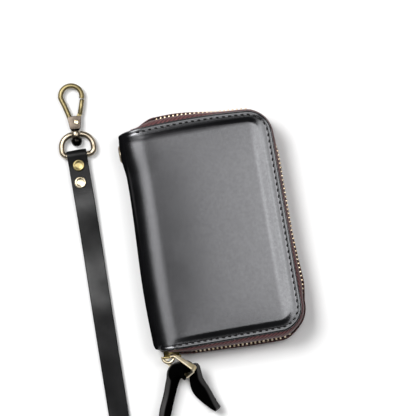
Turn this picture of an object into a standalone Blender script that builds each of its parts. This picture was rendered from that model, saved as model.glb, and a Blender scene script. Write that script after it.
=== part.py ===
"""A zip-round leather wristlet wallet with a wrist strap and a snap hook, closed and lying on a table.

Units are metres. The wallet lies on its back cover: +Z is up, +Y runs along the spine to the top edge,
and +X goes from the spine to the opening edge. The origin is the middle of the back cover's outer face.
"""

from math import acos, asin, atan, atan2, ceil, cos, degrees, hypot, pi, radians, sin

import bmesh
import bpy
from mathutils import Matrix, Vector

# Wallet covers and spine
COVER_WIDTH = 0.0774
COVER_LENGTH = 0.1157
WALLET_THICKNESS = 0.0220
COVER_LEATHER = 0.0014
COVER_CORNER = 0.0110
SPINE_FOLD = 0.0060
SEAT_GAP = 0.0003

# Wallet inside
BOARD_THICKNESS = 0.0012
BOARD_INSET = 0.0034
LINING_THICKNESS = 0.0006
LINING_INSET = 0.0020
POCKET_THICKNESS = 0.0007
POCKET_COUNT = 3
POCKET_STEP = 0.0110
POCKET_DEPTH = 0.0590
POCKET_FROM_FOLD = 0.0040
SPINE_LINING_THICKNESS = 0.0006

# Zip
TAPE_THICKNESS = 0.0005
TAPE_SEAM = 0.0026
TAPE_REACH = 0.0024
TAPE_REACH_AT_SPINE = 0.0003
TAPE_UPRIGHT = 0.0026
TEETH_PITCH = 0.0022
TEETH_RADIUS = 0.0008
TEETH_WAIST = 0.55
TEETH_ROW_GAP = 0.0014
ZIP_FROM_FOLD = 0.0003
SLIDER_LENGTH = 0.0100
SLIDER_HEIGHT = 0.0056
SLIDER_PLATE = 0.0008
SLIDER_WEB = 0.0006
SLIDER_FROM_SPINE = 0.0077
CROWN_RADIUS = 0.0023
CROWN_WIRE = 0.0006
CROWN_LEG = 0.0012
CROWN_AHEAD = 0.0024
PIN_AHEAD = 0.0027
PIN_DEPTH = 0.0005

# Pull ring, hanging from the slider's crown
RING_LENGTH = 0.0153
RING_BAND = 0.0014
RING_FAR_BAND = 0.0034
RING_STOCK = 0.0010
RING_CORNER = 0.0020
RING_EASE = 0.0006
RING_HEADING = radians(-42.0)
RING_DROOP = radians(9.0)
RING_LEAN = radians(24.0)

# Strap
STRAP_WIDTH = 0.0100
STRAP_THICKNESS = 0.0024
STRAP_END_LENGTH = 0.0200
STRAP_END_LEAD = 0.0080
TAIL_TAPER = 0.0150
TAIL_TIP_WIDTH = 0.0034
RIVET_HEAD = 0.0029
RIVET_SHANK = 0.0012
RIVET_RISE = 0.0012
RIVET_DISH = 0.0006
RIVET_DISH_RADIUS = 0.0015
RIVET_CREST_RADIUS = 0.0023
RIVET_RIM = 0.0005
RIVET_BACK = 0.0006
RIVET_BACK_RADIUS = 0.0024
RIVET_FIRST = 0.0055
RIVET_SPACING = 0.0089
STRAP_LIFT = 0.0005
LOOP_STEP = 0.0060
FOLD_STEP = 0.0020

# Eyelet on the spine
EYELET_FROM_TOP = 0.0108
EYELET_RADIUS = 0.0047
EYELET_BORE = 0.0018
EYELET_BARREL = 0.0026
EYELET_RISE = 0.0009
EYELET_DISH = 0.0006
WASHER_THICKNESS = 0.0006

# Strap end, swivel eye and snap hook, measured from the eye's bar in the strap's fold
STRAP_END_X = -0.0620
STRAP_END_Y = 0.0511
EYE_ASIDE = 0.0008
EYE_HEADING = radians(2.5)
EYE_WIRE = 0.0012
EYE_HALF_WIDTH = 0.0083
EYE_REACH = 0.0108
EYE_NEAR_CORNER = 0.0028
EYE_FAR_CORNER = 0.0066
RUN_GAP = 0.0003
FOLD_GAP = 0.0005
SWIVEL_BOSS = 0.0026
SWIVEL_BOSS_LENGTH = 0.0040
SWIVEL_POST = 0.0010
SWIVEL_HEAD = 0.0020
SWIVEL_HEAD_LENGTH = 0.0022
SWIVEL_HEAD_EDGE = 0.0009
HOOK_WIRE = 0.0013
HOOK_TOP = 0.0376
HOOK_HALF_WIDTH = 0.0055
HOOK_BOW_START = 190
HOOK_BASE_WIDTH = 0.0066
HOOK_BASE_LENGTH = 0.0062
HOOK_BASE_THICKNESS = 0.0038
GATE_THICKNESS = 0.0016
GATE_WIDTH = 0.0024
GATE_PIN = 0.0007
GATE_PIVOT_X = 0.0010
GATE_PIVOT_Y = 0.0036
GATE_TIP_GAP = 0.0009

# Mesh fineness, weld distance and the size of the marks on the joint axes
ROUND_STEPS = 20
CORNER_STEPS = 8
SMALL_CORNER_STEPS = 4
WELD = 0.00001
JOINT_MARK = 0.005

HALF_WIDTH = COVER_WIDTH / 2
HALF_LENGTH = COVER_LENGTH / 2
MID_HEIGHT = WALLET_THICKNESS / 2
FOLD_X = -HALF_WIDTH + SPINE_FOLD
ZIP_START = FOLD_X + ZIP_FROM_FOLD
ZIP_RUN = HALF_WIDTH - COVER_CORNER - ZIP_START
ZIP_SLANT = (TAPE_REACH - TAPE_REACH_AT_SPINE) / ZIP_RUN
SLIDER_X = -HALF_WIDTH + SLIDER_FROM_SPINE
SLIDER_REACH = TAPE_REACH_AT_SPINE + ZIP_SLANT * (SLIDER_X - ZIP_START)
SLIDER_FRAME = (Matrix.Translation((SLIDER_X, -HALF_LENGTH - SLIDER_REACH, MID_HEIGHT))
                @ Matrix.Rotation(-atan(ZIP_SLANT), 4, "Z"))
SLIDER_FACE = TEETH_RADIUS + SEAT_GAP + SLIDER_PLATE
CROWN_OUT = SLIDER_FACE + SEAT_GAP + CROWN_LEG
RING_PIN = SLIDER_FRAME @ Vector((-PIN_AHEAD, -CROWN_OUT - PIN_DEPTH, 0))
EYE_HOLE = EYE_WIRE + FOLD_GAP
FOLD_OUTSIDE = EYE_HOLE + STRAP_THICKNESS / 2
STRAP_END = Vector((STRAP_END_X, STRAP_END_Y, FOLD_OUTSIDE + SEAT_GAP))
STRAP_END_FRAME = Matrix.Translation(STRAP_END)
EYE_BAR = STRAP_END + Vector((EYE_ASIDE, 0, 0))
EYE_FRAME = Matrix.Translation(EYE_BAR) @ Matrix.Rotation(-EYE_HEADING, 4, "Z")
BOSS_END = EYE_REACH + SWIVEL_BOSS_LENGTH / 2
HOOK_FOOT = BOSS_END + 2 * SEAT_GAP
HOOK_BOW_Y = HOOK_TOP - HOOK_WIRE - HOOK_HALF_WIDTH
# Stands a drawn section up, so that it is pushed out along X
SECTION_TURN = Matrix(((0, 0, 1, 0), (1, 0, 0, 0), (0, 1, 0, 0), (0, 0, 0, 1)))

for old in list(bpy.data.objects):
    bpy.data.objects.remove(old)
parts = bpy.data.collections.new("wristlet_wallet")
helpers = bpy.data.collections.new("cutters")
bpy.context.scene.collection.children.link(parts)
bpy.context.scene.collection.children.link(helpers)


def material(name, colour, roughness, metallic=0.0):
    """A Principled finish, its colour given as linear red, green and blue."""
    made = bpy.data.materials.new(name)
    made.use_nodes = True
    shader = made.node_tree.nodes["Principled BSDF"]
    shader.inputs["Base Color"].default_value = (*colour, 1.0)
    shader.inputs["Roughness"].default_value = roughness
    shader.inputs["Metallic"].default_value = metallic
    return made


LEATHER = material("black leather", (0.012, 0.012, 0.013), 0.35)
STRAP_LEATHER = material("black strap leather", (0.010, 0.010, 0.010), 0.45)
BOARD = material("stiff board", (0.20, 0.16, 0.12), 0.8)
LINING = material("dark lining", (0.02, 0.017, 0.016), 0.85)
TAPE = material("maroon zip tape", (0.07, 0.03, 0.03), 0.8)
BRASS = material("pale brass", (0.75, 0.60, 0.36), 0.3, 1.0)
OLD_BRASS = material("antique brass", (0.35, 0.29, 0.17), 0.35, 1.0)


def place(made, finish, carrier=None):
    """Puts a finished object in the collection, on its carrier's empty where it moves."""
    parts.objects.link(made)
    made.data.materials.append(finish)
    if carrier:
        made.parent = carrier
        made.matrix_parent_inverse = carrier.matrix_world.inverted()
    return made


def joint_empty(name, where):
    """An empty on a joint's axis, which carries the pieces that move there."""
    made = bpy.data.objects.new(name, None)
    made.matrix_world = Matrix.Translation(where)
    made.empty_display_size = JOINT_MARK
    parts.objects.link(made)
    return made


def cutter(made):
    """Keeps a cutting or joining shape out of sight."""
    helpers.objects.link(made)
    made.hide_render = True
    made.display_type = "WIRE"
    return made


def boolean(made, other, operation):
    modifier = made.modifiers.new(operation.lower(), "BOOLEAN")
    modifier.operation = operation
    modifier.solver = "EXACT"
    modifier.object = other


def closed_mesh(name, shape):
    """A closed shape as a mesh whose faces all point out."""
    bmesh.ops.recalc_face_normals(shape, faces=shape.faces)
    if shape.calc_volume(signed=True) < 0:
        bmesh.ops.reverse_faces(shape, faces=shape.faces)
    mesh = bpy.data.meshes.new(name)
    shape.to_mesh(mesh)
    shape.free()
    return mesh


def rod_mesh(name, start, end, radius, sides=ROUND_STEPS):
    """A round bar between two points."""
    shape = bmesh.new()
    way = end - start
    turn = way.to_track_quat("Z", "Y").to_matrix().to_4x4()
    matrix = Matrix.Translation((start + end) / 2) @ turn
    bmesh.ops.create_cone(shape, cap_ends=True, segments=sides, radius1=radius, radius2=radius,
                          depth=way.length, matrix=matrix)
    return bpy.data.objects.new(name, closed_mesh(name, shape))


def box_mesh(name, low, high, turn=None):
    """A box between two corners, turned afterwards if a matrix is given."""
    shape = bmesh.new()
    size = Matrix.Diagonal((*(high - low), 1.0))
    bmesh.ops.create_cube(shape, size=1.0, matrix=Matrix.Translation((low + high) / 2) @ size)
    if turn:
        bmesh.ops.transform(shape, matrix=turn, verts=shape.verts)
    return bpy.data.objects.new(name, closed_mesh(name, shape))


def arc(centre, radius, start, end, steps=CORNER_STEPS):
    """Points on an arc, from one angle to another, both in degrees."""
    turns = [radians(start + (end - start) * step / steps) for step in range(steps + 1)]
    return [(centre[0] + radius * cos(turn), centre[1] + radius * sin(turn)) for turn in turns]


def outline_solid(name, outlines, thickness):
    """A flat shape with straight sides: each outline is a closed list of points, the inner ones holes."""
    curve = bpy.data.curves.new(name, "CURVE")
    curve.dimensions = "2D"
    curve.fill_mode = "BOTH"
    curve.extrude = thickness / 2
    for points in outlines:
        spline = curve.splines.new("POLY")
        spline.points.add(len(points) - 1)
        spline.use_cyclic_u = True
        for point, (x, y) in zip(spline.points, points):
            point.co = (x, y, 0.0, 1.0)
    return bpy.data.objects.new(name, curve)


def wire(name, points, radius, sizes=None, cyclic=False, resolution=2):
    """A round wire through points; sizes thins or thickens it at each of them."""
    curve = bpy.data.curves.new(name, "CURVE")
    curve.dimensions = "3D"
    curve.bevel_depth = radius
    curve.bevel_resolution = resolution
    curve.use_fill_caps = not cyclic
    spline = curve.splines.new("POLY")
    spline.points.add(len(points) - 1)
    spline.use_cyclic_u = cyclic
    for index, (point, where) in enumerate(zip(spline.points, points)):
        point.co = (*where, 1.0)
        point.radius = sizes[index] if sizes else 1.0
    return bpy.data.objects.new(name, curve)


def as_mesh(made):
    """The same shape as a mesh with its caps sewn on, so that it can be cut or joined."""
    holder = bpy.context.scene.collection.objects
    holder.link(made)
    bpy.context.view_layer.update()
    graph = bpy.context.evaluated_depsgraph_get()
    mesh = bpy.data.meshes.new_from_object(made.evaluated_get(graph))
    name = made.name
    matrix = made.matrix_world.copy()
    bpy.data.objects.remove(made)
    shape = bmesh.new()
    shape.from_mesh(mesh)
    bmesh.ops.remove_doubles(shape, verts=shape.verts, dist=WELD / 10)
    solid = bpy.data.objects.new(name, closed_mesh(name, shape))
    solid.matrix_world = matrix
    return solid


def turned(name, profile, where, along, closed=False):
    """A turned piece: the profile's radius and height, from the top down its outside, about its own Z."""
    mesh = bpy.data.meshes.new(name)
    last = len(profile)
    edges = [(i, (i + 1) % last) for i in range(last if closed else last - 1)]
    mesh.from_pydata([(radius, 0.0, height) for radius, height in profile], edges, [])
    made = bpy.data.objects.new(name, mesh)
    screw = made.modifiers.new("turn", "SCREW")
    screw.steps = ROUND_STEPS
    screw.render_steps = ROUND_STEPS
    screw.use_merge_vertices = True
    screw.merge_threshold = WELD
    screw.use_smooth_shade = True
    made.matrix_world = Matrix.Translation(where) @ along.to_track_quat("Z", "Y").to_matrix().to_4x4()
    return made


def upright(point, height):
    """A place in the plan, at a height above the table."""
    return Vector((point[0], point[1], height))


# The two halves, each a cover with what is sewn and glued to it
spine_joint = joint_empty("spine_fold_axis", Vector((FOLD_X, 0, SPINE_FOLD)))
front_joint = joint_empty("cover_fold_axis", Vector((FOLD_X, 0, WALLET_THICKNESS - SPINE_FOLD)))


def cover_outline(left, inset):
    """A cover's outline drawn in by an inset: square at the spine, rounded at the opening edge."""
    right = HALF_WIDTH - inset
    far = HALF_LENGTH - inset
    corner = COVER_CORNER - inset
    points = [(left, far), (left, -far)]
    points += arc((right - corner, corner - far), corner, -90, 0)
    points += arc((right - corner, far - corner), corner, 0, 90)
    return points


def sheet(name, outline, finish, side, low, thickness):
    """A flat layer of one half, its low side measured inwards from that half's outer face."""
    made = outline_solid(name, [outline], thickness)
    middle = low + thickness / 2
    front = side == "front"
    made.location.z = WALLET_THICKNESS - middle if front else middle
    return place(made, finish, front_joint if front else None)


def zip_tape(side):
    """A tape with one edge sewn under the cover and the other standing up to carry the teeth."""
    half = TAPE_THICKNESS / 2
    seam = COVER_LEATHER + SEAT_GAP
    top = MID_HEIGHT - TEETH_ROW_GAP / 2 - 2 * TEETH_RADIUS - SEAT_GAP
    bend = top - TAPE_UPRIGHT
    inner = TAPE_REACH_AT_SPINE - half
    outer = TAPE_REACH_AT_SPINE + half
    profile = [(-TAPE_SEAM, seam), (-2 * half, seam), (outer, bend - half), (outer, top), (inner, top),
               (inner, bend + half), (-3 * half, seam + TAPE_THICKNESS), (-TAPE_SEAM, seam + TAPE_THICKNESS)]
    centre_x = HALF_WIDTH - COVER_CORNER
    centre_y = HALF_LENGTH - COVER_CORNER
    shape = bmesh.new()
    ring = [shape.verts.new((ZIP_START, -HALF_LENGTH - out, height)) for out, height in profile]
    loop = [shape.edges.new((ring[i - 1], ring[i])) for i in range(len(ring))]
    run = Vector((ZIP_RUN, 0, 0))
    spread = Vector((0, TAPE_REACH_AT_SPINE - TAPE_REACH, 0))
    rise = Vector((0, 2 * centre_y, 0))
    legs = ((run, (centre_x, -centre_y, 0)), (rise, (centre_x, centre_y, 0)), (-run, None))
    for way, corner in legs:
        made = bmesh.ops.extrude_edge_only(shape, edges=loop)["geom"]
        moved = [part for part in made if isinstance(part, bmesh.types.BMVert)]
        bmesh.ops.translate(shape, vec=way, verts=moved)
        if way.x:
            standing = [vert for vert in moved if abs(vert.co.y) > HALF_LENGTH]
            bmesh.ops.translate(shape, vec=spread, verts=standing)
        loop = [part for part in made if isinstance(part, bmesh.types.BMEdge) and part.is_boundary]
        if corner:
            made = bmesh.ops.spin(shape, geom=loop, cent=corner, axis=(0, 0, 1), angle=pi / 2,
                                  steps=CORNER_STEPS)["geom_last"]
            loop = [part for part in made if isinstance(part, bmesh.types.BMEdge)]
    bmesh.ops.holes_fill(shape, edges=[edge for edge in shape.edges if edge.is_boundary], sides=0)
    front = side == "front"
    if front:
        for vert in shape.verts:
            vert.co.z = WALLET_THICKNESS - vert.co.z
    name = side + "_zip_tape"
    place(bpy.data.objects.new(name, closed_mesh(name, shape)), TAPE, front_joint if front else None)


def zip_line(spacing):
    """Points along the teeth's line, evenly spaced: bottom run, opening edge, top run."""
    centre_x = HALF_WIDTH - COVER_CORNER
    centre_y = HALF_LENGTH - COVER_CORNER
    radius = COVER_CORNER + TAPE_REACH
    run = ZIP_RUN
    near = HALF_LENGTH + TAPE_REACH_AT_SPINE
    bend = radius * pi / 2
    side = 2 * centre_y
    total = 2 * run + 2 * bend + side
    count = int(total / spacing)
    points = []
    for index in range(count + 1):
        way = index * total / count
        if way <= run:
            points.append((ZIP_START + way, -near - ZIP_SLANT * way))
        elif way <= run + bend:
            points += arc((centre_x, -centre_y), radius, -90, -90 + 90 * (way - run) / bend, 1)[1:]
        elif way <= run + bend + side:
            points.append((centre_x + radius, -centre_y + way - run - bend))
        elif way <= run + 2 * bend + side:
            points += arc((centre_x, centre_y), radius, 0, 90 * (way - run - bend - side) / bend, 1)[1:]
        else:
            back = total - way
            points.append((ZIP_START + back, near + ZIP_SLANT * back))
    return points


def zip_teeth(side):
    """One row of teeth as a ribbed bead, thick at each tooth and thin between."""
    front = side == "front"
    drop = TEETH_ROW_GAP / 2 + TEETH_RADIUS
    height = MID_HEIGHT + drop if front else MID_HEIGHT - drop
    points = [upright(point, height) for point in zip_line(TEETH_PITCH / 2)]
    sizes = [TEETH_WAIST if index % 2 else 1.0 for index in range(len(points))]
    made = wire(side + "_zip_teeth", points, TEETH_RADIUS, sizes, resolution=0)
    place(made, BRASS, front_joint if front else None)


for half in ("back", "front"):
    cover_left = FOLD_X + SEAT_GAP
    sheet(half + "_cover", cover_outline(cover_left, 0), LEATHER, half, 0, COVER_LEATHER)
    level = COVER_LEATHER + SEAT_GAP
    sheet(half + "_board", cover_outline(cover_left, BOARD_INSET), BOARD, half, level, BOARD_THICKNESS)
    level += BOARD_THICKNESS + SEAT_GAP
    sheet(half + "_lining", cover_outline(cover_left, LINING_INSET), LINING, half, level, LINING_THICKNESS)
    level += LINING_THICKNESS + SEAT_GAP
    for pocket in range(POCKET_COUNT):
        foot = FOLD_X + POCKET_FROM_FOLD
        mouth = foot + POCKET_DEPTH - POCKET_STEP * pocket
        reach = HALF_LENGTH - COVER_CORNER
        corners = [(foot, reach), (foot, -reach), (mouth, -reach), (mouth, reach)]
        sheet(f"{half}_card_pocket_{pocket + 1}", corners, LEATHER, half, level, POCKET_THICKNESS)
        level += POCKET_THICKNESS + SEAT_GAP
    zip_tape(half)
    zip_teeth(half)


# The spine, folded round from cover to cover, with the eyelet that the hook clips to
def fold_points():
    """The leather's outer line across the spine, from the back cover round to the front one."""
    low = arc((FOLD_X, SPINE_FOLD), SPINE_FOLD, 270, 180)
    high = arc((FOLD_X, WALLET_THICKNESS - SPINE_FOLD), SPINE_FOLD, 180, 90)
    return low + high


def spine_leather():
    """The folded leather, a sheet thickened inwards."""
    shape = bmesh.new()
    line = [shape.verts.new((x, -HALF_LENGTH, z)) for x, z in fold_points()]
    edges = [shape.edges.new(pair) for pair in zip(line, line[1:])]
    made = bmesh.ops.extrude_edge_only(shape, edges=edges)["geom"]
    bmesh.ops.translate(shape, vec=(0, COVER_LENGTH, 0),
                        verts=[part for part in made if isinstance(part, bmesh.types.BMVert)])
    bmesh.ops.recalc_face_normals(shape, faces=shape.faces)
    if sum(face.normal.x for face in shape.faces) > 0:
        bmesh.ops.reverse_faces(shape, faces=shape.faces)
    mesh = bpy.data.meshes.new("spine_leather")
    shape.to_mesh(mesh)
    shape.free()
    made = place(bpy.data.objects.new("spine_leather", mesh), LEATHER, spine_joint)
    solid = made.modifiers.new("thickness", "SOLIDIFY")
    solid.thickness = COVER_LEATHER
    solid.offset = -1.0
    solid.use_even_offset = True
    return made


eyelet_middle = Vector((-HALF_WIDTH, HALF_LENGTH - EYELET_FROM_TOP, MID_HEIGHT))
lining_face = COVER_LEATHER + SEAT_GAP + SPINE_LINING_THICKNESS
leather = spine_leather()
lining_low = Vector((-HALF_WIDTH + COVER_LEATHER + SEAT_GAP, -HALF_LENGTH + LINING_INSET,
                     SPINE_FOLD + SEAT_GAP))
lining_high = Vector((-HALF_WIDTH + lining_face, HALF_LENGTH - LINING_INSET,
                      WALLET_THICKNESS - SPINE_FOLD - SEAT_GAP))
lining = place(box_mesh("spine_lining", lining_low, lining_high), LINING, spine_joint)
barrel_hole = cutter(rod_mesh("eyelet_hole", eyelet_middle - Vector((EYELET_RISE, 0, 0)),
                              eyelet_middle + Vector((2 * lining_face, 0, 0)), EYELET_BARREL + SEAT_GAP))
boolean(leather, barrel_hole, "DIFFERENCE")
boolean(lining, barrel_hole, "DIFFERENCE")
washer_face = lining_face + SEAT_GAP
eyelet_profile = [(EYELET_BORE, EYELET_RISE - EYELET_DISH), (EYELET_BARREL, EYELET_RISE + SEAT_GAP),
                  (EYELET_RADIUS - EYELET_RISE / 2, EYELET_RISE + SEAT_GAP), (EYELET_RADIUS, SEAT_GAP),
                  (EYELET_BARREL, SEAT_GAP), (EYELET_BARREL, -washer_face - WASHER_THICKNESS),
                  (EYELET_BORE, -washer_face - WASHER_THICKNESS)]
outward = Vector((-1, 0, 0))
place(turned("spine_eyelet", eyelet_profile, eyelet_middle, outward, closed=True), BRASS, spine_joint)
washer_hole = EYELET_BARREL + SEAT_GAP
washer_profile = [(washer_hole, 0), (EYELET_RADIUS, 0), (EYELET_RADIUS, -WASHER_THICKNESS),
                  (washer_hole, -WASHER_THICKNESS)]
washer_place = eyelet_middle - outward * washer_face
place(turned("eyelet_washer", washer_profile, washer_place, outward, closed=True), BRASS, spine_joint)

# The slider, two plates joined by a web that runs between the rows of teeth
slider_joint = joint_empty("zip_slide_axis", SLIDER_FRAME.translation)
pull_joint = joint_empty("pull_swing_axis", RING_PIN)


def slider():
    inner = TEETH_RADIUS + SEAT_GAP
    outer = SLIDER_FACE
    tall = SLIDER_HEIGHT / 2
    web = SLIDER_WEB / 2
    upper = [(outer, tall), (inner, tall), (inner, web), (-inner, web), (-inner, tall), (-outer, tall)]
    section = upper + [(x, -height) for x, height in reversed(upper)]
    made = outline_solid("zip_slider", [section], SLIDER_LENGTH)
    made.matrix_world = SLIDER_FRAME @ SECTION_TURN
    return place(made, BRASS, slider_joint)


slider()
crown_line = [(-CROWN_AHEAD - CROWN_RADIUS, CROWN_LEG - CROWN_OUT)]
crown_line += arc((-CROWN_AHEAD, -CROWN_OUT), CROWN_RADIUS, 180, 360)
crown_line += [(-CROWN_AHEAD + CROWN_RADIUS, CROWN_LEG - CROWN_OUT)]
crown_points = [SLIDER_FRAME @ upright(point, 0) for point in crown_line]
place(wire("slider_crown", crown_points, CROWN_WIRE), BRASS, slider_joint)


# The pull ring's own directions: along it, across its bars, and square to it
def ring_frame():
    """Along points away from the slider and droops, across leans over, and square completes the set."""
    level = cos(RING_DROOP)
    along = Vector((cos(RING_HEADING) * level, sin(RING_HEADING) * level, -sin(RING_DROOP)))
    flat = Vector((-sin(RING_HEADING), cos(RING_HEADING), 0))
    rise = along.cross(flat)
    across = rise * cos(RING_LEAN) + flat * sin(RING_LEAN)
    return along, across, across.cross(along)


RING_ALONG, RING_ACROSS, RING_SQUARE = ring_frame()


def ring_place(along, square, across=0.0):
    """A place given along the ring, square to it and across it, from the pin in the crown."""
    return RING_PIN + RING_ALONG * along + RING_SQUARE * square + RING_ACROSS * across


def rounded(low, high, corner):
    """A rectangle with rounded corners, between two corner points."""
    points = arc((high[0] - corner, low[1] + corner), corner, -90, 0, SMALL_CORNER_STEPS)
    points += arc((high[0] - corner, high[1] - corner), corner, 0, 90, SMALL_CORNER_STEPS)
    points += arc((low[0] + corner, high[1] - corner), corner, 90, 180, SMALL_CORNER_STEPS)
    points += arc((low[0] + corner, low[1] + corner), corner, 180, 270, SMALL_CORNER_STEPS)
    return points


def pull_ring():
    """A flat band bent into a loop, wide enough inside for the strap and flared away from the slider."""
    inside = STRAP_WIDTH / 2 + RING_EASE
    half = RING_STOCK / 2
    hole = rounded((half, -inside), (RING_LENGTH - half, inside), RING_CORNER - half)
    outside = inside + RING_STOCK
    edge = rounded((-half, -outside), (RING_LENGTH + half, outside), RING_CORNER + half)
    made = as_mesh(outline_solid("pull_ring", [edge, hole], RING_BAND))
    for vert in made.data.vertices:
        vert.co.z *= 1 + (RING_FAR_BAND / RING_BAND - 1) * vert.co.x / RING_LENGTH
    turn = Matrix((RING_ALONG, RING_ACROSS, RING_ALONG.cross(RING_ACROSS))).transposed()
    made.matrix_world = Matrix.Translation(RING_PIN) @ turn.to_4x4()
    return place(made, BRASS, pull_joint)


pull_ring()


# The strap, a flat band swept along a route and turned about it as it goes
def lying(x, y, side):
    """A station of the strap on the table: its place, the direction of its width, the step after it."""
    side = side.normalized()
    level = hypot(side.x, side.y)
    height = STRAP_WIDTH / 2 * abs(side.z) + STRAP_THICKNESS / 2 * level + STRAP_LIFT
    return Vector((x, y, height)), side, LOOP_STEP


def smooth(values, steps):
    """Values on a smooth curve through the given ones, with a number of steps in each span."""
    padded = [values[0] * 2 - values[1], *values, values[-1] * 2 - values[-2]]
    made = []
    for count, a, b, c, d in zip(steps, padded, padded[1:], padded[2:], padded[3:]):
        for step in range(count):
            t = step / count
            bend = (a * 2 - b * 5 + c * 4 - d) * t ** 2 + (b * 3 - a - c * 3 + d) * t ** 3
            made.append((b * 2 + (c - a) * t + bend) / 2)
    made.append(values[-1].copy())
    return made


def strap_frames(stations):
    """Along the strap's route: the place of its middle, the way ahead and the direction of its width."""
    points = [where for where, side, spacing in stations]
    steps = [ceil((b - a).length / station[2]) for a, b, station in zip(points, points[1:], stations)]
    places = smooth(points, steps)
    sides = smooth([side for where, side, spacing in stations], steps)
    last = len(places) - 1
    frames = []
    for index, (where, side) in enumerate(zip(places, sides)):
        ahead = (places[min(index + 1, last)] - places[max(index - 1, 0)]).normalized()
        frames.append((where, ahead, (side - ahead * side.dot(ahead)).normalized()))
    return frames


def strap_band(name, frames, widths, carrier=None):
    """A flat band along the frames, as wide as widths says and drawn back a hair at its ends."""
    shape = bmesh.new()
    rings = []
    for index, ((where, ahead, side), width) in enumerate(zip(frames, widths)):
        drawn = SEAT_GAP / 2 * ((index == 0) - (index == len(frames) - 1))
        face = ahead.cross(side) * STRAP_THICKNESS / 2
        half = side * width / 2
        rings.append([shape.verts.new(where + ahead * drawn + half * a + face * b)
                      for a, b in ((1, 1), (-1, 1), (-1, -1), (1, -1))])
    for first, second in zip(rings, rings[1:]):
        for corner in range(4):
            shape.faces.new((first[corner - 1], first[corner], second[corner], second[corner - 1]))
    shape.faces.new(rings[0])
    shape.faces.new(rings[-1])
    bmesh.ops.triangulate(shape, faces=shape.faces)
    return place(bpy.data.objects.new(name, closed_mesh(name, shape)), STRAP_LEATHER, carrier)


def tail_widths(frames):
    """The strap's width from the tip of its tail on, widening over the taper to its full width."""
    way = 0.0
    widths = []
    for index, (where, ahead, side) in enumerate(frames):
        way += (where - frames[max(index - 1, 0)][0]).length
        share = sin(min(1.0, way / TAIL_TAPER) * pi / 2)
        widths.append(TAIL_TIP_WIDTH + (STRAP_WIDTH - TAIL_TIP_WIDTH) * share)
    return widths


LEANING = Vector((0.30, 0.29, 0.91))
SLOPING = Vector((0.12, 0.78, 0.61))
FLAT = Vector((-1.0, 0.0, 0.0))
TAIL_AND_FOLD = [(ring_place(0.0360, -0.0046, -0.0044), RING_ACROSS, FOLD_STEP),
                 (ring_place(0.0290, -0.0035, -0.0038), RING_ACROSS, FOLD_STEP),
                 (ring_place(0.0224, -0.0012, -0.0029), RING_ACROSS, FOLD_STEP),
                 (ring_place(0.0185, 0.0018, -0.0018), RING_ACROSS, FOLD_STEP),
                 (ring_place(0.0156, 0.0033, -0.0008), RING_ACROSS, FOLD_STEP),
                 (ring_place(0.0120, 0.0035, -0.0002), RING_ACROSS, FOLD_STEP),
                 (ring_place(0.0085, 0.0014, -0.0004), SLOPING, FOLD_STEP),
                 (ring_place(0.0069, -0.0022, -0.0005), SLOPING, FOLD_STEP),
                 (ring_place(0.0070, -0.0064, -0.0030), LEANING, FOLD_STEP),
                 (Vector((-0.0351, -0.0749, 0.0075)), LEANING, FOLD_STEP)]
LOOP = [lying(-0.0371, -0.0797, LEANING),
        lying(-0.0406, -0.0892, LEANING),
        lying(-0.0441, -0.1003, Vector((0.20, 0.20, 0.96))),
        lying(-0.0486, -0.1098, Vector((0.05, 0.15, 0.98))),
        lying(-0.0548, -0.1148, Vector((-0.10, 0.05, 0.99))),
        lying(-0.0606, -0.1103, Vector((-0.40, 0.00, 0.92))),
        lying(-0.0633, -0.0993, Vector((-0.80, 0.00, 0.60))),
        lying(-0.0632, -0.0852, FLAT),
        lying(-0.0630, -0.0624, FLAT),
        lying(-0.0627, -0.0341, FLAT),
        lying(-0.0622, -0.0014, FLAT),
        (STRAP_END - Vector((0, STRAP_END_LENGTH + STRAP_END_LEAD, SEAT_GAP)), FLAT, LOOP_STEP),
        (STRAP_END - Vector((0, STRAP_END_LENGTH, 0)), FLAT, LOOP_STEP)]
route = strap_frames(TAIL_AND_FOLD + LOOP)
leg_cut = min(range(len(route)), key=lambda index: (route[index][0] - LOOP[0][0]).length)
pull_widths = tail_widths(route[:leg_cut + 1])
strap_band("strap_pull_end", route[:leg_cut + 1], pull_widths, pull_joint)
strap_band("wrist_strap", route[leg_cut:], [STRAP_WIDTH] * (len(route) - leg_cut))


# The strap's hook end, folded round the eye's bar and riveted
def strap_hook_end():
    half = STRAP_THICKNESS / 2
    reach = degrees(acos(-cos(asin(half / FOLD_OUTSIDE))))
    edge = [(-STRAP_END_LENGTH + SEAT_GAP / 2, half), (-STRAP_END_LENGTH + SEAT_GAP / 2, -half)]
    edge += arc((0, 0), FOLD_OUTSIDE, -reach, reach, ROUND_STEPS)
    hole = arc((0, 0), EYE_HOLE, 0, 360, ROUND_STEPS)[:-1]
    made = outline_solid("strap_hook_end", [edge, hole], STRAP_WIDTH)
    made.matrix_world = STRAP_END_FRAME @ SECTION_TURN
    return place(as_mesh(made), STRAP_LEATHER)


def strap_rivet(name, seat):
    """A dished head on top, a shank through the strap and a flat back under it."""
    back = -STRAP_THICKNESS - 2 * SEAT_GAP
    dish = RIVET_RISE - RIVET_DISH
    profile = [(0, dish), (RIVET_DISH_RADIUS, dish), (RIVET_CREST_RADIUS, RIVET_RISE),
               (RIVET_HEAD, RIVET_RIM), (RIVET_HEAD, 0), (RIVET_SHANK, 0), (RIVET_SHANK, back),
               (RIVET_BACK_RADIUS, back), (RIVET_BACK_RADIUS, back - RIVET_BACK), (0, back - RIVET_BACK)]
    place(turned(name, profile, seat, Vector((0, 0, 1))), BRASS)


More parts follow.
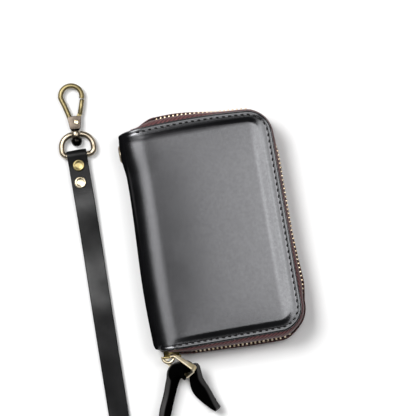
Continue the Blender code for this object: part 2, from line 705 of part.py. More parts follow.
hook_end = strap_hook_end()
for number in range(2):
    where = STRAP_END - Vector((0, RIVET_FIRST + RIVET_SPACING * number, 0))
    lift = Vector((0, 0, STRAP_THICKNESS))
    boolean(hook_end, cutter(rod_mesh(f"rivet_hole_{number + 1}", where - lift, where + lift,
                                      RIVET_SHANK + SEAT_GAP)), "DIFFERENCE")
    strap_rivet(f"strap_rivet_{number + 1}", where + lift / 2 + Vector((0, 0, SEAT_GAP)))

# The swivel eye, a rounded ring with a bored boss at its far side
eye_joint = joint_empty("eye_swing_axis", EYE_BAR)
hook_joint = joint_empty("hook_swivel_axis", EYE_FRAME @ Vector((0, EYE_REACH, 0)))
gate_joint = joint_empty("gate_axis", EYE_FRAME @ Vector((GATE_PIVOT_X, HOOK_FOOT + GATE_PIVOT_Y, 0)))


def swivel_eye():
    near = EYE_NEAR_CORNER
    far = EYE_FAR_CORNER
    wide = EYE_HALF_WIDTH
    line = arc((wide - near, near), near, -90, 0, SMALL_CORNER_STEPS)
    line += arc((wide - far, EYE_REACH - far), far, 0, 90)
    line += [(-x, y) for x, y in reversed(line)]
    made = wire("swivel_eye", [upright(point, 0) for point in line], EYE_WIRE, cyclic=True)
    made.matrix_world = EYE_FRAME
    made = place(as_mesh(made), BRASS, eye_joint)
    start = EYE_REACH - SWIVEL_BOSS_LENGTH / 2
    boss = rod_mesh("eye_boss", EYE_FRAME @ Vector((0, start, 0)),
                    EYE_FRAME @ Vector((0, BOSS_END, 0)), SWIVEL_BOSS)
    boolean(made, cutter(boss), "UNION")
    bore = rod_mesh("eye_bore", EYE_FRAME @ Vector((0, start - EYE_WIRE, 0)),
                    EYE_FRAME @ Vector((0, BOSS_END + EYE_WIRE, 0)), SWIVEL_POST + RUN_GAP)
    boolean(made, cutter(bore), "DIFFERENCE")


swivel_eye()


# The snap hook turns on its post; the gate turns on its pin between the base's ears
def swivel_post():
    head = EYE_REACH - SWIVEL_BOSS_LENGTH / 2 - RUN_GAP
    profile = [(0, HOOK_FOOT - SEAT_GAP), (SWIVEL_POST, HOOK_FOOT - SEAT_GAP), (SWIVEL_POST, head),
               (SWIVEL_HEAD, head), (SWIVEL_HEAD, head - SWIVEL_HEAD_LENGTH + SWIVEL_HEAD_EDGE),
               (SWIVEL_HEAD - SWIVEL_HEAD_EDGE, head - SWIVEL_HEAD_LENGTH), (0, head - SWIVEL_HEAD_LENGTH)]
    made = turned("swivel_post", profile, EYE_BAR, EYE_FRAME.to_3x3() @ Vector((0, 1, 0)))
    place(made, OLD_BRASS, hook_joint)


def hook_body():
    foot = HOOK_FOOT
    line = [(-HOOK_BASE_WIDTH / 4, foot + HOOK_BASE_LENGTH / 3),
            (-HOOK_BASE_WIDTH / 3, foot + HOOK_BASE_LENGTH)]
    line += arc((0, HOOK_BOW_Y), HOOK_HALF_WIDTH, HOOK_BOW_START, 0, 2 * CORNER_STEPS)
    made = wire("hook_body", [upright(point, 0) for point in line], HOOK_WIRE)
    made.matrix_world = EYE_FRAME
    made = place(as_mesh(made), OLD_BRASS, hook_joint)
    wide = HOOK_BASE_WIDTH / 2
    thick = HOOK_BASE_THICKNESS / 2
    base = box_mesh("hook_base", Vector((-wide, foot, -thick)),
                    Vector((wide, foot + HOOK_BASE_LENGTH, thick)), EYE_FRAME)
    boolean(made, cutter(base), "UNION")
    slot = GATE_THICKNESS / 2 + RUN_GAP
    floor = foot + GATE_PIVOT_Y - GATE_WIDTH / 2 - 2 * RUN_GAP
    gap = box_mesh("gate_slot", Vector((GATE_PIVOT_X - GATE_WIDTH / 2 - 2 * RUN_GAP, floor, -slot)),
                   Vector((HOOK_BASE_WIDTH, foot + 2 * HOOK_BASE_LENGTH, slot)), EYE_FRAME)
    boolean(made, cutter(gap), "DIFFERENCE")
    pivot = Vector((GATE_PIVOT_X, foot + GATE_PIVOT_Y, 0))
    lift = Vector((0, 0, HOOK_BASE_THICKNESS))
    hole = rod_mesh("gate_pin_hole", EYE_FRAME @ (pivot - lift), EYE_FRAME @ (pivot + lift),
                    GATE_PIN + RUN_GAP)
    boolean(made, cutter(hole), "DIFFERENCE")
    pin = rod_mesh("gate_pin", EYE_FRAME @ (pivot - lift / 2), EYE_FRAME @ (pivot + lift / 2), GATE_PIN)
    place(pin, BRASS, hook_joint)


def hook_gate():
    """A bar from the pin up to the hook's tip, rounded at both ends."""
    start = Vector((GATE_PIVOT_X, HOOK_FOOT + GATE_PIVOT_Y))
    tip = Vector((HOOK_HALF_WIDTH, HOOK_BOW_Y - GATE_WIDTH / 2 - GATE_TIP_GAP))
    tilt = degrees(atan2(tip.x - start.x, tip.y - start.y))
    edge = arc(start, GATE_WIDTH / 2, 180 - tilt, 360 - tilt)
    edge += arc(tip, GATE_WIDTH / 2, -tilt, 180 - tilt)
    hole = arc(start, GATE_PIN + RUN_GAP, 0, 360, ROUND_STEPS)[:-1]
    made = outline_solid("hook_gate", [edge, hole], GATE_THICKNESS)
    made.matrix_world = EYE_FRAME
    place(made, OLD_BRASS, gate_joint)


swivel_post()
hook_body()
hook_gate()
bpy.context.view_layer.update()
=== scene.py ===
# %% [markdown]
# # A zip-round wristlet wallet
#
# The wallet is black leather, closed by a brass zip, with a wrist strap and a snap hook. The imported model
# gives every rigid piece its place and its motion. This lesson dresses it, piece by piece, in the same frame:
# metres, the wallet lying on its back cover, +Z up, +Y along the spine and +X towards the opening edge.

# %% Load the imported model
from math import atan, atan2, ceil, cos, degrees, hypot, pi, radians, sin

import bmesh
import bpy
from mathutils import Matrix, Vector


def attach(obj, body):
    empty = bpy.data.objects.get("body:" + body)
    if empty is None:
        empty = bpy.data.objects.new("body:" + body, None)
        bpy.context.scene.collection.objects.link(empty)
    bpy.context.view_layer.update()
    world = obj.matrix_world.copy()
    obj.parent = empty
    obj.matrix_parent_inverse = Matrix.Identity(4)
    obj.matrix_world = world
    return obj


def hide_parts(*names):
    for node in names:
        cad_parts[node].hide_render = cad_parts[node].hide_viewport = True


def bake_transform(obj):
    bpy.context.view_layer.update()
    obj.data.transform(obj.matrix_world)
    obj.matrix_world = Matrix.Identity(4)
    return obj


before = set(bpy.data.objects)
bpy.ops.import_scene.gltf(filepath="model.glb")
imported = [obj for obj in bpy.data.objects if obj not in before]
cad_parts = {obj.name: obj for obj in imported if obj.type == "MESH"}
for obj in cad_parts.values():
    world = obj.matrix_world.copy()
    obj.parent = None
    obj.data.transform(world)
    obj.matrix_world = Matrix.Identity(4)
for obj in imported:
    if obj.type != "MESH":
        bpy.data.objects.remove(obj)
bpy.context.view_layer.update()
bpy.context.scene.view_settings.view_transform = "Standard"

# %% [markdown]
# ## Camera
#
# The photograph looks almost straight down, tipped a little so that the lower zip shows more than the upper
# one, and turned so that the wallet leans to the left. A long lens far away keeps the plan true to scale. The
# camera's own axes are built from the turn and the tip, so nothing has to be aimed by eye.

# %% Place the camera
PHOTO_PIXELS = 416
METRES_PER_PIXEL = 0.000515
CAMERA_TURN = radians(9.73)
CAMERA_TIP = radians(3.5)
CAMERA_DISTANCE = 2.6
AIM = Vector((0.0002, 0.0114, 0.0220))

image_right = Vector((cos(CAMERA_TURN), -sin(CAMERA_TURN), 0))
image_up = Vector((sin(CAMERA_TURN), cos(CAMERA_TURN), 0))
towards_camera = Vector((0, 0, cos(CAMERA_TIP))) - image_up * sin(CAMERA_TIP)
camera_up = towards_camera.cross(image_right)
lens = bpy.data.cameras.new("photo_camera")
lens.sensor_width = 36
lens.lens = lens.sensor_width * CAMERA_DISTANCE / (PHOTO_PIXELS * METRES_PER_PIXEL)
lens.clip_end = 20
camera = bpy.data.objects.new("photo_camera", lens)
bpy.context.scene.collection.objects.link(camera)
turn = Matrix((image_right, camera_up, towards_camera)).transposed().to_4x4()
camera.matrix_world = Matrix.Translation(AIM + towards_camera * CAMERA_DISTANCE) @ turn
bpy.context.scene.camera = camera
print("lens:", round(lens.lens), "mm")

# %% [markdown]
# ## Lamps
#
# Black leather shows little but what it reflects, so the lamps hang as in a studio. A wide panel overhead greys the
# flat of the cover, a second one to its right brightens the slope at the opening edge, and a strip on the left makes
# the pale streak beside the spine. A soft key at the upper left, which the cover doesn't mirror, throws the shadows
# to the right. The world is almost dark, so that the spine can be black.

# %% Hang the lamps
def panel(name, where, size, watts):
    """A soft rectangular lamp that faces the wallet, its long side along the wallet's own length."""
    lamp = bpy.data.lights.new(name, "AREA")
    lamp.shape = "RECTANGLE"
    lamp.size, lamp.size_y = size
    lamp.energy = watts
    made = bpy.data.objects.new(name, lamp)
    bpy.context.scene.collection.objects.link(made)
    back = Vector(where).normalized()
    side = Vector((0, 1, 0)).cross(back).normalized()
    made.matrix_world = Matrix.Translation(where) @ Matrix((side, back.cross(side), back)).transposed().to_4x4()


panel("overhead_panel", (0.17, 0.07, 1.10), (0.51, 0.46), 3.1)
panel("right_panel", (0.395, 0.07, 1.05), (0.57, 0.30), 0.75)
panel("far_right_panel", (0.55, 0.07, 1.04), (0.52, 0.30), 2.1)
panel("left_strip", (-0.40, 0.05, 1.05), (0.26, 0.60), 1.75)
panel("key_panel", (-0.72, 0.74, 1.74), (0.80, 0.80), 33.0)
world = bpy.data.worlds.new("dark_studio")
bpy.context.scene.world = world
world.use_nodes = True
world.node_tree.nodes["Background"].inputs["Color"].default_value = (1.0, 1.0, 1.0, 1.0)
world.node_tree.nodes["Background"].inputs["Strength"].default_value = 0.03

# %% [markdown]
# ## Small tools
#
# Colours are written as they look on a screen and turned to the linear values that a shader wants. One function
# adds any node, with its settings, fixed values and links. One more wraps a finished mesh as a piece.

# %% Define the colour, node and piece tools
def colour(code):
    """Linear red, green, blue and alpha from a screen colour such as #1a1a1a."""
    shares = [int(code[i:i + 2], 16) / 255 for i in (1, 3, 5)]
    return *[s / 12.92 if s <= 0.04045 else ((s + 0.055) / 1.055) ** 2.4 for s in shares], 1.0


def add(tree, kind, inputs=None, stops=None, **settings):
    """Adds one node: settings are its choices, inputs its values or links, stops a ramp's places and colours."""
    made = tree.nodes.new("ShaderNode" + kind)
    for name, value in settings.items():
        setattr(made, name, value)
    for name, value in (inputs or {}).items():
        if isinstance(value, bpy.types.NodeSocket):
            tree.links.new(value, made.inputs[name])
        else:
            made.inputs[name].default_value = value
    for index, (place, code) in enumerate(stops or []):
        ramp = made.color_ramp.elements
        stop = ramp[index] if index < 2 else ramp.new(place)
        stop.position = place
        stop.color = colour(code)
    return made


def finish(name, **values):
    """A new material, its node tree and its shader, with fixed values on the shader's own sockets."""
    made = bpy.data.materials.new(name)
    made.use_nodes = True
    shader = made.node_tree.nodes["Principled BSDF"]
    for socket, value in values.items():
        shader.inputs[socket.replace("_", " ")].default_value = value
    return made, made.node_tree, shader


def piece(name, shape, material, smooth=True):
    """A finished bmesh as an object at the origin, with its material."""
    mesh = bpy.data.meshes.new(name)
    for face in shape.faces:
        face.smooth = smooth
    shape.to_mesh(mesh)
    shape.free()
    mesh.materials.append(material)
    made = bpy.data.objects.new(name, mesh)
    bpy.context.scene.collection.objects.link(made)
    print(name, "faces:", len(mesh.polygons))
    return made


def arc(centre, radius, start, end, steps):
    """Points on an arc, from one angle in degrees to another."""
    turns = [radians(start + (end - start) * step / steps) for step in range(steps + 1)]
    return [(centre[0] + radius * cos(a), centre[1] + radius * sin(a)) for a in turns]


def ease(value, low, high):
    """0 below low, 1 above high, and a smooth rise between."""
    share = min(1.0, max(0.0, (value - low) / (high - low)))
    return share * share * (3 - 2 * share)


FLOOR_COLOUR = "#f4f4f4"
floor_finish, floor_tree, floor_shader = finish("matt white paper", Roughness=0.9)
floor_shader.inputs["Base Color"].default_value = colour(FLOOR_COLOUR)
sheet = bmesh.new()
bmesh.ops.create_grid(sheet, x_segments=1, y_segments=1, size=3.0)
floor = piece("floor", sheet, floor_finish, smooth=False)
floor.location.z = -0.0002

# %% [markdown]
# ## Cover leather
#
# The cover is glazed cowhide: a smooth black skin, polished in the factory, over a thin pad. Pores too fine to
# see one by one break the shine a little, and the surface rolls by parts of a degree. Seen close, that gives
# soft-edged reflections rather than mirror ones. The spine's side isn't polished, so the shine dies away there.

# %% Mix the cover leather
PORE = 0.00035
ROLL = 0.0090
MOTTLE = 0.0016
leather, tree, shader = finish("glazed black cowhide", Specular_Tint=colour("#fafbff"))
place = add(tree, "TexCoord").outputs["Object"]
pores = add(tree, "TexVoronoi", {"Vector": place, "Scale": 1 / PORE})
rolls = add(tree, "TexNoise", {"Vector": place, "Scale": 1 / ROLL, "Detail": 3.0})
shade = add(tree, "ValToRGB", {"Fac": rolls.outputs["Fac"]}, stops=[(0.3, "#0a0a0b"), (0.7, "#101012")])
gloss = add(tree, "MapRange", {"Value": rolls.outputs["Fac"], "To Min": 0.19, "To Max": 0.24})
across, along, _ = add(tree, "SeparateXYZ", {"Vector": place}).outputs
from_top = add(tree, "MapRange", {"Value": along, "From Min": 0.0500, "From Max": 0.0580}).outputs["Result"]
roll_off = add(tree, "ValToRGB", {"Fac": from_top}, stops=[(0.05, "#ffffff"), (0.62, "#ffffff"), (0.28, "#8c8c8c"), (0.52, "#8c8c8c")])
mottle = add(tree, "TexNoise", {"Vector": place, "Scale": 1 / MOTTLE, "Detail": 4.0, "Roughness": 0.65})
shine = add(tree, "MapRange", {"Value": mottle.outputs["Fac"], "From Min": 0.3, "From Max": 0.7, "To Min": 0.72, "To Max": 0.88})
polish = add(tree, "MapRange", {"Value": across, "From Min": -0.0375, "From Max": -0.0335, "To Min": 0.0,
                                "To Max": shine.outputs["Result"]})
grain = add(tree, "Bump", {"Height": pores.outputs["Distance"], "Strength": 0.12, "Distance": 0.00005})
tree.links.new(shade.outputs["Color"], shader.inputs["Base Color"])
tree.links.new(gloss.outputs["Result"], shader.inputs["Roughness"])
worked = add(tree, "Math", {0: polish.outputs["Result"], 1: roll_off.outputs["Color"]}, operation="MULTIPLY")
tree.links.new(worked.outputs["Value"], shader.inputs["Specular IOR Level"])
tree.links.new(grain.outputs["Normal"], shader.inputs["Normal"])
print("mixed", leather.name)

# %% [markdown]
# ## Covers
#
# Each cover is one sheet of leather that runs from the opening edge over its pad, round the fold and down to
# the middle of the spine, where it meets the other one. It starts flat, as leather does: a rectangle with two
# rounded corners, sliced into a net that is finer at its edges. Every point then gets its height (rounded rim,
# stitching groove, pad) and is wrapped round the fold.

# %% Measure the covers
HALF_WIDTH = 0.03925
HALF_LENGTH = 0.05785
THICK = 0.0220
CORNER = 0.0126
FOLD_X = -0.0327
FOLD_RISE = 0.0090
FOLD_RUN = 0.0145
FOLD_SQUARENESS = 2.5
SKIN = 0.0011
STITCH_INSET = 0.0021
STITCH_PITCH = 0.0032
GROOVE_HALF = 0.0007
GROOVE_DEPTH = 0.0001
RIM_ROUND = 0.0008
PAD_START = 0.0027
PAD_END = 0.0062
PAD_END_OPEN_SIDE = 0.0114
PAD_RISE = 0.0005
CROWN_RISE = 0.0010
CROWN_X = 0.0080
CROWN_CURVE = 1.0
SPINE_SHORTER = 0.0016
PAD_LEFT = (-0.0320, -0.0220)
SPINE_BOW = 0.0008
SPINE_BOW_END = -0.0200
SPINE_SWELL = 0.0010
SWELL_MIDDLE = 0.0460
SWELL_HALF = 0.0120
TOP_BOW = 0.0012
TOP_BOW_MIDDLE = -0.0030
TOP_BOW_HALF = 0.0300
LOW_CORNER = 0.0050


def fold_line(steps=60):
    """The leather's outer line from the middle of the spine up and over, as points with their way so far."""
    line = [(-HALF_WIDTH, THICK / 2)]
    for step in range(steps + 1):
        angle = pi / 2 * step / steps
        across = sin(angle) ** (2 / FOLD_SQUARENESS)
        rise = cos(angle) ** (2 / FOLD_SQUARENESS) if step < steps else 0.0
        line.append((-HALF_WIDTH + FOLD_RUN * (1 - rise), THICK - FOLD_RISE * (1 - across)))
    way = 0.0
    made = []
    for before, point in zip([line[0]] + line, line):
        way += hypot(point[0] - before[0], point[1] - before[1])
        made.append((way, *point))
    return made


FOLD_LINE = fold_line()
FOLD_LENGTH = FOLD_LINE[-1][0]
FLAT_START = FOLD_LINE[-1][1]
SHEET_LEFT = FLAT_START - FOLD_LENGTH
print("leather round the fold:", round(FOLD_LENGTH * 1000, 1), "mm")


# %% Shape a cover
def edge_distance(x, y):
    """How far a point lies inside the cover's top, opening and bottom edges, with the rounded corners."""
    over = Vector((max(0.0, x - HALF_WIDTH + CORNER), max(0.0, abs(y) - HALF_LENGTH + CORNER)))
    if over.x and over.y:
        return CORNER - over.length
    return min(HALF_WIDTH - x, HALF_LENGTH - abs(y))


def cover_height(x, y, padded):
    """The leather's height over the rim's level: round rim, groove under the stitches, pad and crown."""
    inside = edge_distance(x, y)
    rim = min(1.0, max(0.0, 1 - inside / RIM_ROUND))
    groove = max(0.0, 1 - abs(inside - STITCH_INSET) / GROOVE_HALF)
    edge = padded * ease(min(inside, HALF_LENGTH - abs(y)), PAD_START, PAD_END)
    edge *= ease(HALF_WIDTH - x, PAD_START, PAD_END_OPEN_SIDE)
    crown = (1 - (y / HALF_LENGTH) ** 4) * (CROWN_RISE - CROWN_CURVE * (x - CROWN_X) ** 2)
    height = edge * (PAD_RISE * ease(x, *PAD_LEFT) + max(crown, 0.0))
    return height - RIM_ROUND * (1 - (1 - rim ** 2) ** 0.5) - GROOVE_DEPTH * ease(groove, 0, 1)


def wrapped(x, y, lift):
    """A point of the flat sheet, carried round the fold and lifted square to the leather."""
    if x >= FLAT_START:
        return Vector((x, y, THICK + lift))
    way = x - SHEET_LEFT
    index = max(1, next(i for i, row in enumerate(FOLD_LINE) if row[0] >= way - 1e-9))
    (way_a, xa, za), (way_b, xb, zb) = FOLD_LINE[index - 1], FOLD_LINE[index]
    share = (way - way_a) / (way_b - way_a)
    ahead = Vector((xb - xa, 0, zb - za)).normalized()
    shorter = 1 - SPINE_SHORTER / HALF_LENGTH * (1 - ease(way, 0, FOLD_LENGTH * 0.75))
    where = Vector((xa + (xb - xa) * share, y * shorter, za + (zb - za) * share))
    return where + Vector((-ahead.z, 0, ahead.x)) * lift


def softened(where):
    """A point of the worn wallet: the spine waves, the top edge bows out and the spine's low corner is rounded."""
    where = where.copy()
    low = Vector((where.x + HALF_WIDTH - LOW_CORNER, where.y + HALF_LENGTH - LOW_CORNER))
    if low.x < 0 and low.y < 0:
        low *= max(-low.x, -low.y) / low.length
        where.xy = low - Vector((HALF_WIDTH, HALF_LENGTH)) + Vector((LOW_CORNER, LOW_CORNER))
    by_spine = 1 - ease(where.x, -HALF_WIDTH, SPINE_BOW_END)
    by_top = max(0.0, 1 - ((where.x - TOP_BOW_MIDDLE) / TOP_BOW_HALF) ** 2) * ease(where.y, 0.0, HALF_LENGTH)
    where.x += SPINE_BOW * by_spine * sin(pi * where.y / HALF_LENGTH)
    by_eyelet = max(0.0, 1 - ((where.y - SWELL_MIDDLE) / SWELL_HALF) ** 2) ** 2
    where.x -= SPINE_SWELL * by_spine * by_eyelet
    where.y += TOP_BOW * by_top
    return where


def cover_sheet():
    """The flat sheet as a net: its outline with two rounded corners, cut by lines that close up at the edges."""
    shape = bmesh.new()
    outline = [(SHEET_LEFT, HALF_LENGTH), (SHEET_LEFT, -HALF_LENGTH)]
    outline += arc((HALF_WIDTH - CORNER, CORNER - HALF_LENGTH), CORNER, -90, 0, 24)
    outline += arc((HALF_WIDTH - CORNER, HALF_LENGTH - CORNER), CORNER, 0, 90, 24)
    shape.faces.new([shape.verts.new((x, y, 0)) for x, y in outline])
    cuts = [(Vector((1, 0, 0)), SHEET_LEFT, FLAT_START, FOLD_NET), (Vector((1, 0, 0)), FLAT_START, EDGE_X, WIDE_NET),
            (Vector((1, 0, 0)), EDGE_X, HALF_WIDTH, EDGE_NET), (Vector((0, 1, 0)), -EDGE_Y, EDGE_Y, WIDE_NET),
            (Vector((0, 1, 0)), EDGE_Y, HALF_LENGTH, EDGE_NET), (Vector((0, 1, 0)), -HALF_LENGTH, -EDGE_Y, EDGE_NET)]
    for square, low, high, net in cuts:
        count = ceil((high - low) / net)
        for step in range(count):
            geom = shape.verts[:] + shape.edges[:] + shape.faces[:]
            where = square * (low + (high - low) * step / count)
            bmesh.ops.bisect_plane(shape, geom=geom, dist=1e-7, plane_co=where, plane_no=square)
    return shape


FOLD_NET = 0.0007
WIDE_NET = 0.0025
EDGE_NET = 0.00035
EDGE_X = HALF_WIDTH - 0.0135
EDGE_Y = HALF_LENGTH - 0.0095


def cover(name, front):
    """One cover with its half of the spine, padded only where nothing presses it flat."""
    shape = cover_sheet()
    for vert in shape.verts:
        x, y, z = vert.co
        vert.co = softened(wrapped(x, y, cover_height(x, y, front)))
        if not front:
            vert.co.z = THICK - vert.co.z
    if not front:
        bmesh.ops.reverse_faces(shape, faces=shape.faces)
    made = piece(name, shape, leather)
    skin = made.modifiers.new("skin", "SOLIDIFY")
    skin.thickness = SKIN
    skin.offset = -1.0
    return made


front_leather = cover("front_leather", True)
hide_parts("front_cover", "spine_leather")
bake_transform(front_leather)
back_leather = cover("back_leather", False)
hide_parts("back_cover", "spine_leather")
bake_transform(back_leather)

# %% [markdown]
# ## Strap leather
#
# The strap is cut from thicker hide: the grain side is black and satin, the flesh side underneath is rough and
# matt, and the cut edges are burnished and coloured grey, partly as painted light for the light they catch. The strap
# carries its own directions as attributes, along it, across it and through it, so that the finish knows which side it
# is on.

# %% Mix the strap leather
STRAP_PORE = 0.00045
FIBRE = 0.00025
WORN_PATCH = 0.0200
strap_leather, tree, shader = finish("black strap hide")
place = add(tree, "TexCoord").outputs["Object"]
through = add(tree, "Attribute", attribute_name="through").outputs["Fac"]
pores = add(tree, "TexVoronoi", {"Vector": place, "Scale": 1 / STRAP_PORE})
fibres = add(tree, "TexNoise", {"Vector": place, "Scale": 1 / FIBRE, "Detail": 4.0, "Roughness": 0.7})
creases = add(tree, "TexNoise", {"Vector": place, "Scale": 1 / 0.006, "Detail": 3.0})
# The grey of the cut edges is partly painted light, for the light the edges catch.
sides = add(tree, "ValToRGB", {"Fac": add(tree, "MapRange", {"Value": through, "From Min": -1.0}).outputs["Result"]},
            stops=[(0.10, "#040404"), (0.90, "#0d0d0e"), (0.30, "#363535"), (0.70, "#363535")])
grain_side = add(tree, "MapRange", {"Value": through, "From Min": -0.9, "From Max": -0.6}).outputs["Result"]
rough = add(tree, "MapRange", {"Value": grain_side, "To Min": 0.85, "To Max": 0.42})
worn = add(tree, "TexNoise", {"Vector": place, "Scale": 1 / WORN_PATCH, "Detail": 3.0})
shine = add(tree, "MapRange", {"Value": worn.outputs["Fac"], "From Min": 0.35, "From Max": 0.65, "To Min": 0.24,
                               "To Max": 0.58})
_, lengthways, _ = add(tree, "SeparateXYZ", {"Vector": place}).outputs
down_strap = add(tree, "MapRange", {"Value": lengthways, "From Min": -0.0800, "From Max": 0.0500})
handled = add(tree, "ValToRGB", {"Fac": down_strap.outputs["Result"]},
              stops=[(0.10, "#868686"), (0.88, "#b0b0b0"), (0.22, "#868686"), (0.36, "#b0b0b0"), (0.42, "#ffffff"),
                     (0.56, "#ffffff"), (0.64, "#b0b0b0"), (0.74, "#b0b0b0"), (0.81, "#ffffff")])
polish = add(tree, "Math", {0: shine.outputs["Result"], 1: handled.outputs["Color"]}, operation="MULTIPLY")
lit = add(tree, "Math", {0: polish.outputs["Value"], 1: grain_side}, operation="MULTIPLY")
bumps = add(tree, "Math", {0: pores.outputs["Distance"], 1: fibres.outputs["Fac"]}, operation="ADD")
all_bumps = add(tree, "Math", {0: bumps.outputs["Value"], 1: creases.outputs["Fac"]}, operation="ADD")
grain = add(tree, "Bump", {"Height": all_bumps.outputs["Value"], "Strength": 0.25, "Distance": 0.00008})
tree.links.new(sides.outputs["Color"], shader.inputs["Base Color"])
tree.links.new(rough.outputs["Result"], shader.inputs["Roughness"])
tree.links.new(lit.outputs["Value"], shader.inputs["Specular IOR Level"])
tree.links.new(grain.outputs["Normal"], shader.inputs["Normal"])
print("mixed", strap_leather.name)

# %% [markdown]
# ## Wrist strap
#
# One flat strap hangs from the zip's pull: its tail comes through the ring, folds over it, and the long leg goes
# down, round a bend outside the picture, and back up to the hook. A band that turns as it goes has no ready
# tool, so its outline is extruded from frame to frame along a smooth curve through the stations of the packed
# model, each with a place and the direction of the strap's width.

# %% Lay out the strap's route
STRAP_WIDTH = 0.0104
STRAP_THICK = 0.0024
STRAP_LIFT = 0.0005
LEANING = Vector((-0.32, 0.06, 0.95))
SLOPING = Vector((0.12, 0.90, 0.42))
FLAT = Vector((-1.0, 0.0, 0.0))
STRAP_END = Vector((-0.0620, 0.0511, 0.0032))
EYE_BAR = STRAP_END + Vector((0.0008, 0, 0))
EYE_HEADING = radians(2.5)
EYE_FRAME = Matrix.Translation(EYE_BAR) @ Matrix.Rotation(-EYE_HEADING, 4, "Z")
HOOK_END_LENGTH = 0.0200
END_LEAD = 0.0080
RING_PIN = Vector((-0.0328, -0.0609, 0.0110))
RING_HEADING = radians(-42)
RING_DROOP = radians(9)
RING_LEAN = radians(24)
RING_ALONG = Matrix.Rotation(RING_HEADING, 3, "Z") @ Vector((cos(RING_DROOP), 0, -sin(RING_DROOP)))
RING_FLAT = Vector((-sin(RING_HEADING), cos(RING_HEADING), 0))
RING_ACROSS = RING_ALONG.cross(RING_FLAT) * cos(RING_LEAN) + RING_FLAT * sin(RING_LEAN)
RING_SQUARE = RING_ACROSS.cross(RING_ALONG)


def by_ring(along, square, across=0.0):
    """A place given along the pull ring, square to it and across it, from the pin in the crown."""
    return RING_PIN + RING_ALONG * along + RING_SQUARE * square + RING_ACROSS * across


def lying(x, y, side, thick=1.0):
    """A station on the table: the strap's middle stands as high as its tilt needs."""
    side = side.normalized()
    height = STRAP_WIDTH / 2 * abs(side.z) + STRAP_THICK / 2 * thick * hypot(side.x, side.y) + STRAP_LIFT
    return Vector((x, y, height)), side, 1.0, thick


PADDED = 1.4
tail_and_fold = [(Vector((-0.0122, -0.0910, 0.0068)), Vector((0.38, 0.16, 0.91)), 0.22, PADDED),
                 (Vector((-0.0144, -0.0878, 0.0057)), Vector((0.46, 0.19, 0.87)), 0.55, PADDED),
                 (Vector((-0.0170, -0.0836, 0.0052)), Vector((0.54, 0.23, 0.81)), 0.86, PADDED),
                 (Vector((-0.0194, -0.0791, 0.0057)), Vector((0.57, 0.24, 0.79)), 1.0, PADDED),
                 (Vector((-0.0204, -0.0741, 0.0071)), Vector((0.40, 0.17, 0.90)), 1.0, PADDED),
                 (by_ring(0.0160, 0.0012, -0.0003), RING_ACROSS, 1.0, 1.2),
                 (by_ring(0.0140, 0.0030, -0.0002), RING_ACROSS, 1.0, 1.0),
                 (by_ring(0.0116, 0.0010, -0.0002), RING_ACROSS, 1.0, 1.0),
                 (Vector((-0.0276, -0.0685, 0.0116)), SLOPING, 1.0, 1.0),
                 (Vector((-0.0318, -0.0712, 0.0078)), Vector((-0.30, 0.25, 0.90)), 1.0, PADDED)]
loop = [lying(-0.0358, -0.0801, LEANING, PADDED), lying(-0.0395, -0.0889, LEANING, PADDED),
        lying(-0.0432, -0.1003, Vector((-0.15, 0.10, 0.97))), lying(-0.0486, -0.1098, Vector((0.05, 0.15, 0.98))),
        lying(-0.0548, -0.1148, Vector((-0.10, 0.05, 0.99))), lying(-0.0606, -0.1103, Vector((-0.40, 0.00, 0.92))),
        lying(-0.0633, -0.0993, Vector((-0.80, 0.00, 0.60))), lying(-0.0632, -0.0852, FLAT),
        lying(-0.0630, -0.0624, FLAT), lying(-0.0627, -0.0341, FLAT), lying(-0.0622, -0.0014, FLAT),
        (STRAP_END - Vector((0, HOOK_END_LENGTH + END_LEAD, 0.0003)), FLAT, 1.0, 1.0),
        (STRAP_END - Vector((0, HOOK_END_LENGTH, 0)), FLAT, 1.0, 1.0)]
print("stations:", len(tail_and_fold) + len(loop))


# %% Sweep a band along the route
def smooth(values, steps):
    """Values on a smooth curve through the given ones, with a number of steps in each span."""
    padded = [values[0] * 2 - values[1], *values, values[-1] * 2 - values[-2]]
    made = []
    for count, a, b, c, d in zip(steps, padded, padded[1:], padded[2:], padded[3:]):
        for step in range(count):
            t = step / count
            bend = (a * 2 - b * 5 + c * 4 - d) * t ** 2 + (b * 3 - a - c * 3 + d) * t ** 3
            made.append((b * 2 + (c - a) * t + bend) / 2)
    return made + [values[-1].copy()]


def route_frames(stations, spacing):
    """Matrices along the route: X across the strap, Y through it towards the grain, Z ahead, and its sizes."""
    points = [where for where, side, wide, thick in stations]
    steps = [ceil((b - a).length / spacing) for a, b in zip(points, points[1:])]
    places = smooth(points, steps)
    sides = smooth([side for where, side, wide, thick in stations], steps)
    sizes = smooth([Vector((wide, thick)) for where, side, wide, thick in stations], steps)
    last = len(places) - 1
    frames = []
    for index, (where, side, size) in enumerate(zip(places, sides, sizes)):
        ahead = (places[min(index + 1, last)] - places[max(index - 1, 0)]).normalized()
        side = (side - ahead * side.dot(ahead)).normalized()
        columns = Matrix((side, ahead.cross(side), ahead)).transposed().to_4x4()
        frames.append(Matrix.Translation(where) @ columns @ Matrix.Diagonal((*size, 1, 1)))
    return frames


